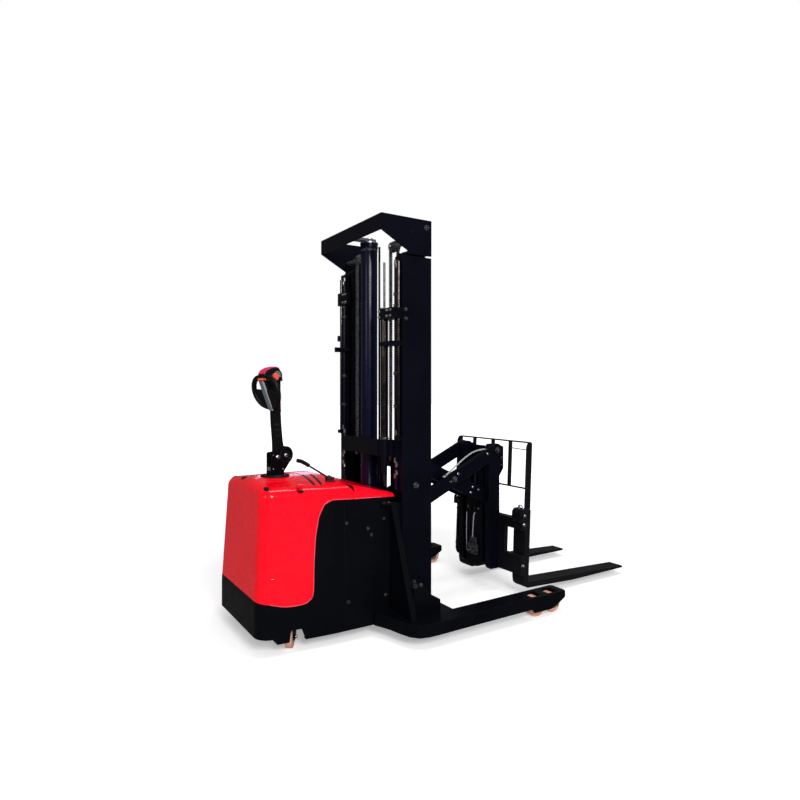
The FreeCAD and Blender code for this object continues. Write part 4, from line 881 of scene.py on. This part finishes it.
def pin_caps(name, body, x, z, y):
    """Retaining disc and a grease nipple on a pin's end."""
    disc = Form(name).lathe([(y - 1, 18), (y + 2.6, 18), (y + 3.4, 16), (y + 3.4, 0.5)], (x, 0, z), LEFT, 32)
    disc.mirror().ride(body, BLACKED, 0.4)
    screws(name + "_nipples", both([((x, -y - 3.4, z), RIGHT)]), body, 4, 5)


def pantograph_pieces():
    pin_caps("centre_pin_caps", "rear_arms", PIVOT_X + ARM_LONG / 2, PIVOT_Z - ARM_RISE / 2, 174)
    pin_caps("front_pin_caps", "reach_frame", PIVOT_X + ARM_LONG, PIVOT_Z, 174)
    rings = Form("arm_boss_rings")
    for along in (357, 714):
        x, z = on_arm(along, 0)
        rings.lathe([(169, 34), (172, 34), (172, 24), (169, 24)], (x, 0, z), LEFT, 36)
    rings.mirror().ride("centre_arms", FINISH["mast_black"], 0.6)
    ribs = Form("arm_stiffeners")
    for start, end in ((95, 300), (420, 640)):
        for high, low in ((37, 32), (-32, -37)):
            ribs.plate(arm_patch(start, end, low, high), "y", 169, 173.5)
    ribs.mirror().ride("centre_arms", FINISH["mast_black"], 0.8)
    hoses = Form("arm_hoses")
    for y, lift in ((-153, 0), (-163, 3)):
        line = [on_arm(s, o) for s, o in ((300, 43), (340, 46 + lift), (400, 56 + lift), (480, 68 + lift),
                                          (550, 70 + lift), (610, 57), (645, 43))]
        hoses.tube([(x, y, z) for x, z in line], 3.6, 10, 6)
    hoses.ride("centre_arms", PALE_HOSE, 0)
    clips = Form("arm_hose_clips")
    for s, inner in ((312, -147.5), (632, -151)):
        clips.plate(arm_patch(s, s + 14, 49, 38), "y", -169, inner)
    clips.ride("centre_arms", ZINC, 0.8)
    rear = spots_on_arm(((560, 18), (560, -18), (610, 18)), -103, False)
    bolts("rear_arm_bolts", rear, "rear_arms", ZINC, 10, 3.5, 8, 1)
    centre = spots_on_arm(((330, 0), (395, 14), (640, 14)), -170)
    bolts("centre_arm_bolts", centre, "centre_arms", ZINC, 11, 5, 9)
    lean = math.atan2(EYE[0] - RAM_X, EYE[1] - RAM_Z)
    wiper = [(314, 18), (322, 18), (325, 15), (325, 11.8), (314, 11.8)]
    along = (math.sin(lean), 0, math.cos(lean))
    for y, word in ((40, "left"), (-40, "right")):
        Form(f"reach_wiper_{word}").lathe(wiper, (RAM_X, y, RAM_Z), along).ride("reach_barrels", ZINC, 0.4)


def reach_frame_pieces():
    Form("frame_cover").block(747.5, 751, -58, 58, 470, 740).ride("reach_frame", FINISH["mast_black"], 1.0)
    cover = [((747.5, y, z), BACK) for y in (-48, 48) for z in (482, 605, 728)]
    bolts("frame_cover_bolts", cover, "reach_frame", ZINC, 9, 4, 7.5)
    hose = Form("frame_hose_pale")
    hose.tube([(751, -12, 452), (744, -9, 436), (742, -3, 370), (742, 1, 304), (744, 0, 262)], 3.2, 10, 7)
    hose.tube([(749, 68, 442), (747, 68, 320), (749, 68, 205)], 2.2, 8, 4)
    hose.ride("reach_frame", PALE_HOSE, 0)
    valve = Form("frame_valve").block(733, 751, -42, 42, 196, 258).block(737, 751, -30, 22, 258, 300)
    valve.ride("reach_frame", BLACKED, 1.5)
    fittings = Form("frame_fittings")
    for y, z, long in ((-28, 246, 10), (-6, 238, 12), (0, 224, 10), (-14, 210, 12), (22, 214, 9)):
        fittings.lathe([(0, 6.5), (-long, 6.5), (-long, 4), (-long - 4, 4)], (734, y, z), FORWARD, 6)
    fittings.lathe([(258, 6.5), (268, 6.5), (268, 4.4), (276, 4.4)], (744, 0, 0), UP, 6)
    fittings.ride("reach_frame", ZINC, 0.3)
    rails = Form("frame_rail_strips").block(749, 752, 112, 117, 190, 700).block(749, 752, 137, 142, 190, 700)
    rails.mirror().ride("reach_frame", FINISH["cylinder_black"], 0.6)
    ear = [((x, -145, z), RIGHT) for x, z in ((814, 872), (850, 800), (850, 756), (772, 872))]
    bolts("frame_ear_bolts", both(ear), "reach_frame", BLACKED, 9, 2.5, 7, 1)
    hoses = Form("frame_tilt_hoses")
    for y in (-20, 20):
        hoses.tube([(752, y, 466), (738, y, 470), (732, y * 1.2, 520), (733, y * 1.4, 600), (738, y * 1.3, 660),
                    (750, y, 690)], 5.5, 12, 6)
    hoses.ride("reach_frame", RUBBER, 0)


def carriage_pieces():
    """Rollers, hose bulkhead and chain studs of the lift carriage."""
    caps = Form("carriage_roller_caps")
    for z in (205, 440):
        caps.lathe([(248, 30), (250.4, 30), (250.4, 12), (251.4, 12), (251.4, 0.5)], (90, 0, z), LEFT, 32)
    caps.mirror().ride("lift_carriage", ZINC, 0.3)
    chain_studs("carriage_chain_studs", "lift_carriage", 72, 484, 34, 13, 9.5)
    plate = [((84, y, z), BACK) for y in (-70, 70) for z in (810, 870, 160, 210)]
    bolts("carriage_bolts", plate, "lift_carriage", BLACKED, 13, 7, 11)
    Form("carriage_hose_block").block(96, 122, -60, 60, 168, 204).ride("lift_carriage", BLACKED, 1.5)
    hoses = Form("carriage_hoses")
    for y in (-40, 40):
        line = [(110, y, 200), (112, y, 230), (118, y * 1.05, 290), (130, y * 1.05, 345), (140, y, 378)]
        hoses.tube(line, 5, 12, 6)
    hoses.ride("lift_carriage", RUBBER, 0)


# ---- forks ----
def fork_pieces():
    for name, y, facing, heights in (("fork_stop_bolts", -352, RIGHT, (426, 189)),
                                     ("fork_stop_bolts_left", 268, LEFT, (426, 200))):
        bolts(name, [((838, y, z), facing) for z in heights], "fork_carriage", ZINC, 17, 6, 12, turn=LEANED)
    latch = Form("fork_latches")
    for y in (207, -304):
        latch.lathe([(512, 8), (524, 8), (524, 5), (534, 5)], (838, y, 0), UP, 16)
        handle = ((0, 531), (-8, 536), (-26, 530), (-34, 519), (-35, 513))
        latch.tube([(838, y + dy, z) for dy, z in handle], 3.0, 10, 5)
    latch.ride("fork_carriage", ZINC, 0.4, LEANED)
    notches = Form("fork_bar_notches")
    for y in (162, -165, -185, -205, -225):
        notches.block(833, 845, y - 5, y + 5, 454, 456.2)
    notches.ride("fork_carriage", BLACKED, 0.3, LEANED)
    guard = [((840, -352, 478), RIGHT), ((840, 305, 478), LEFT)]
    bolts("guard_bolts", guard, "fork_carriage", ZINC, 13, 6, 10, turn=LEANED)
    wire = [(862, -348, 862), (868, -300, 860), (870, -250, 861), (870, -182, 863)]
    Form("guard_wire").tube(wire, 2.6, 8, 5).ride("fork_carriage", FINISH["fork_black"], 0, LEANED)
    cap = [(94, 15), (97.5, 15), (98.5, 12), (98.5, 0.5)]
    tilt = Form("tilt_pin_caps").lathe(cap, (TILT_X, 0, TILT_Z), LEFT, 24)
    tilt.mirror().ride("fork_carriage", ZINC, 0.3, LEANED)


for dress in (tiller_pieces, hood_pieces, lever_pieces, side_pieces, wheel_pieces, mast_pieces, hat_pieces,
              chain_pieces, pantograph_pieces, reach_frame_pieces, carriage_pieces, fork_pieces):
    dress()


# ---- floor, light and camera ----
WHITE = linear("FFFFFF")
AMBIENT = 0.36                # strength of the light from all sides
FLOOR_LIFT = 0.35             # glow of the floor near the truck
FLOOR_NEAR, FLOOR_FAR = 1.6, 4.0        # metres between which it grows to 1
MIRRORED = 0.14               # how bright the backdrop looks in glossy paint


def seen_ray(tree, *names):
    """1 for rays of the named kinds, else 0."""
    path = add(tree, "ShaderNodeLightPath")
    total = path.outputs[names[0]]
    for name in names[1:]:
        total = add(tree, MATHS, {0: total, 1: path.outputs[name]}, operation="MAXIMUM").outputs[0]
    return total


def floor():
    """White studio floor that runs into the background and keeps the shadows."""
    bpy.ops.mesh.primitive_plane_add(size=80, location=(0, 0, -0.0005))
    plane = bpy.context.object
    plane.name = "floor"
    made, tree = blank("studio_floor")
    place = add(tree, "ShaderNodeTexCoord").outputs["Object"]
    far = add(tree, "ShaderNodeVectorMath", {0: place}, operation="LENGTH").outputs["Value"]
    glow = add(tree, SPREAD, {"Value": far, "From Min": FLOOR_NEAR, "From Max": FLOOR_FAR,
                              "To Min": FLOOR_LIFT})
    lift = add(tree, MATHS, {0: seen_ray(tree, "Is Camera Ray"), 1: glow}, operation="MULTIPLY")
    surfaced(made, {"Base Color": linear("F6F6F6"), "Roughness": 0.9, "Specular IOR Level": 0.0,
                    "Emission Color": WHITE, "Emission Strength": lift})
    lit = tree.nodes["Principled BSDF"]
    dim = add(tree, "ShaderNodeEmission", {"Color": WHITE, "Strength": MIRRORED})
    blend = add(tree, "ShaderNodeMixShader", {0: seen_ray(tree, "Is Glossy Ray"), 1: lit, 2: dim})
    feed(tree, tree.nodes["Material Output"], {"Surface": blend})
    plane.data.materials.append(made)


def area_light(name, place, aim, size, power, colour="FFFFFF"):
    data = bpy.data.lights.new(name, "AREA")
    data.shape = "RECTANGLE"
    data.size, data.size_y = size
    data.energy = power
    data.color = linear(colour)[:3]
    lamp = placed(name, data)
    lamp.location = place
    lamp.rotation_euler = (Vector(aim) - Vector(place)).to_track_quat("-Z", "Y").to_euler()
    lamp.visible_camera = False


def studio():
    """White backdrop for the eye, dimmer in reflections, dim ambient light, key lamp on the right side."""
    world = bpy.data.worlds.new("studio")
    world.use_nodes = True
    tree = world.node_tree
    ambient = feed(tree, tree.nodes["Background"], {"Color": WHITE, "Strength": AMBIENT})
    seen = add(tree, SPREAD, {"Value": seen_ray(tree, "Is Camera Ray"), "To Min": MIRRORED})
    backdrop = add(tree, "ShaderNodeBackground", {"Color": WHITE, "Strength": seen})
    shown = seen_ray(tree, "Is Camera Ray", "Is Glossy Ray", "Is Transmission Ray")
    blend = add(tree, "ShaderNodeMixShader", {0: shown, 1: ambient, 2: backdrop})
    feed(tree, tree.nodes["World Output"], {"Surface": blend})
    bpy.context.scene.world = world
    area_light("key", (-1.9, -5.4, 3.4), (-0.3, 0, 0.8), (2.2, 2.0), 260)
    area_light("rear_fill", (-4.6, -1.6, 2.2), (-1.0, 0, 0.6), (1.2, 1.2), 14)
    area_light("top", (-0.2, -0.4, 4.4), (-0.2, 0, 0), (2.4, 1.0), 60)
    area_light("gloss_strip", (1.3, 4.4, 1.35), (-1.1, 0, 0.75), (1.7, 0.9), 9, "D4DCFF")
    bpy.context.scene.view_settings.view_transform = "Standard"


def camera():
    data = bpy.data.cameras.new("camera")
    data.sensor_width = 36.0
    data.lens = 27.207
    data.shift_y = -0.011875
    eye = placed("camera", data)
    eye.location = (-1.670 - ROW_SHIFT, -2.925, 1.210)
    look = Vector((0.5395, 0.8420, 0.0))
    eye.rotation_euler = look.to_track_quat("-Z", "Y").to_euler()
    bpy.context.scene.camera = eye


camera()
studio()
floor()
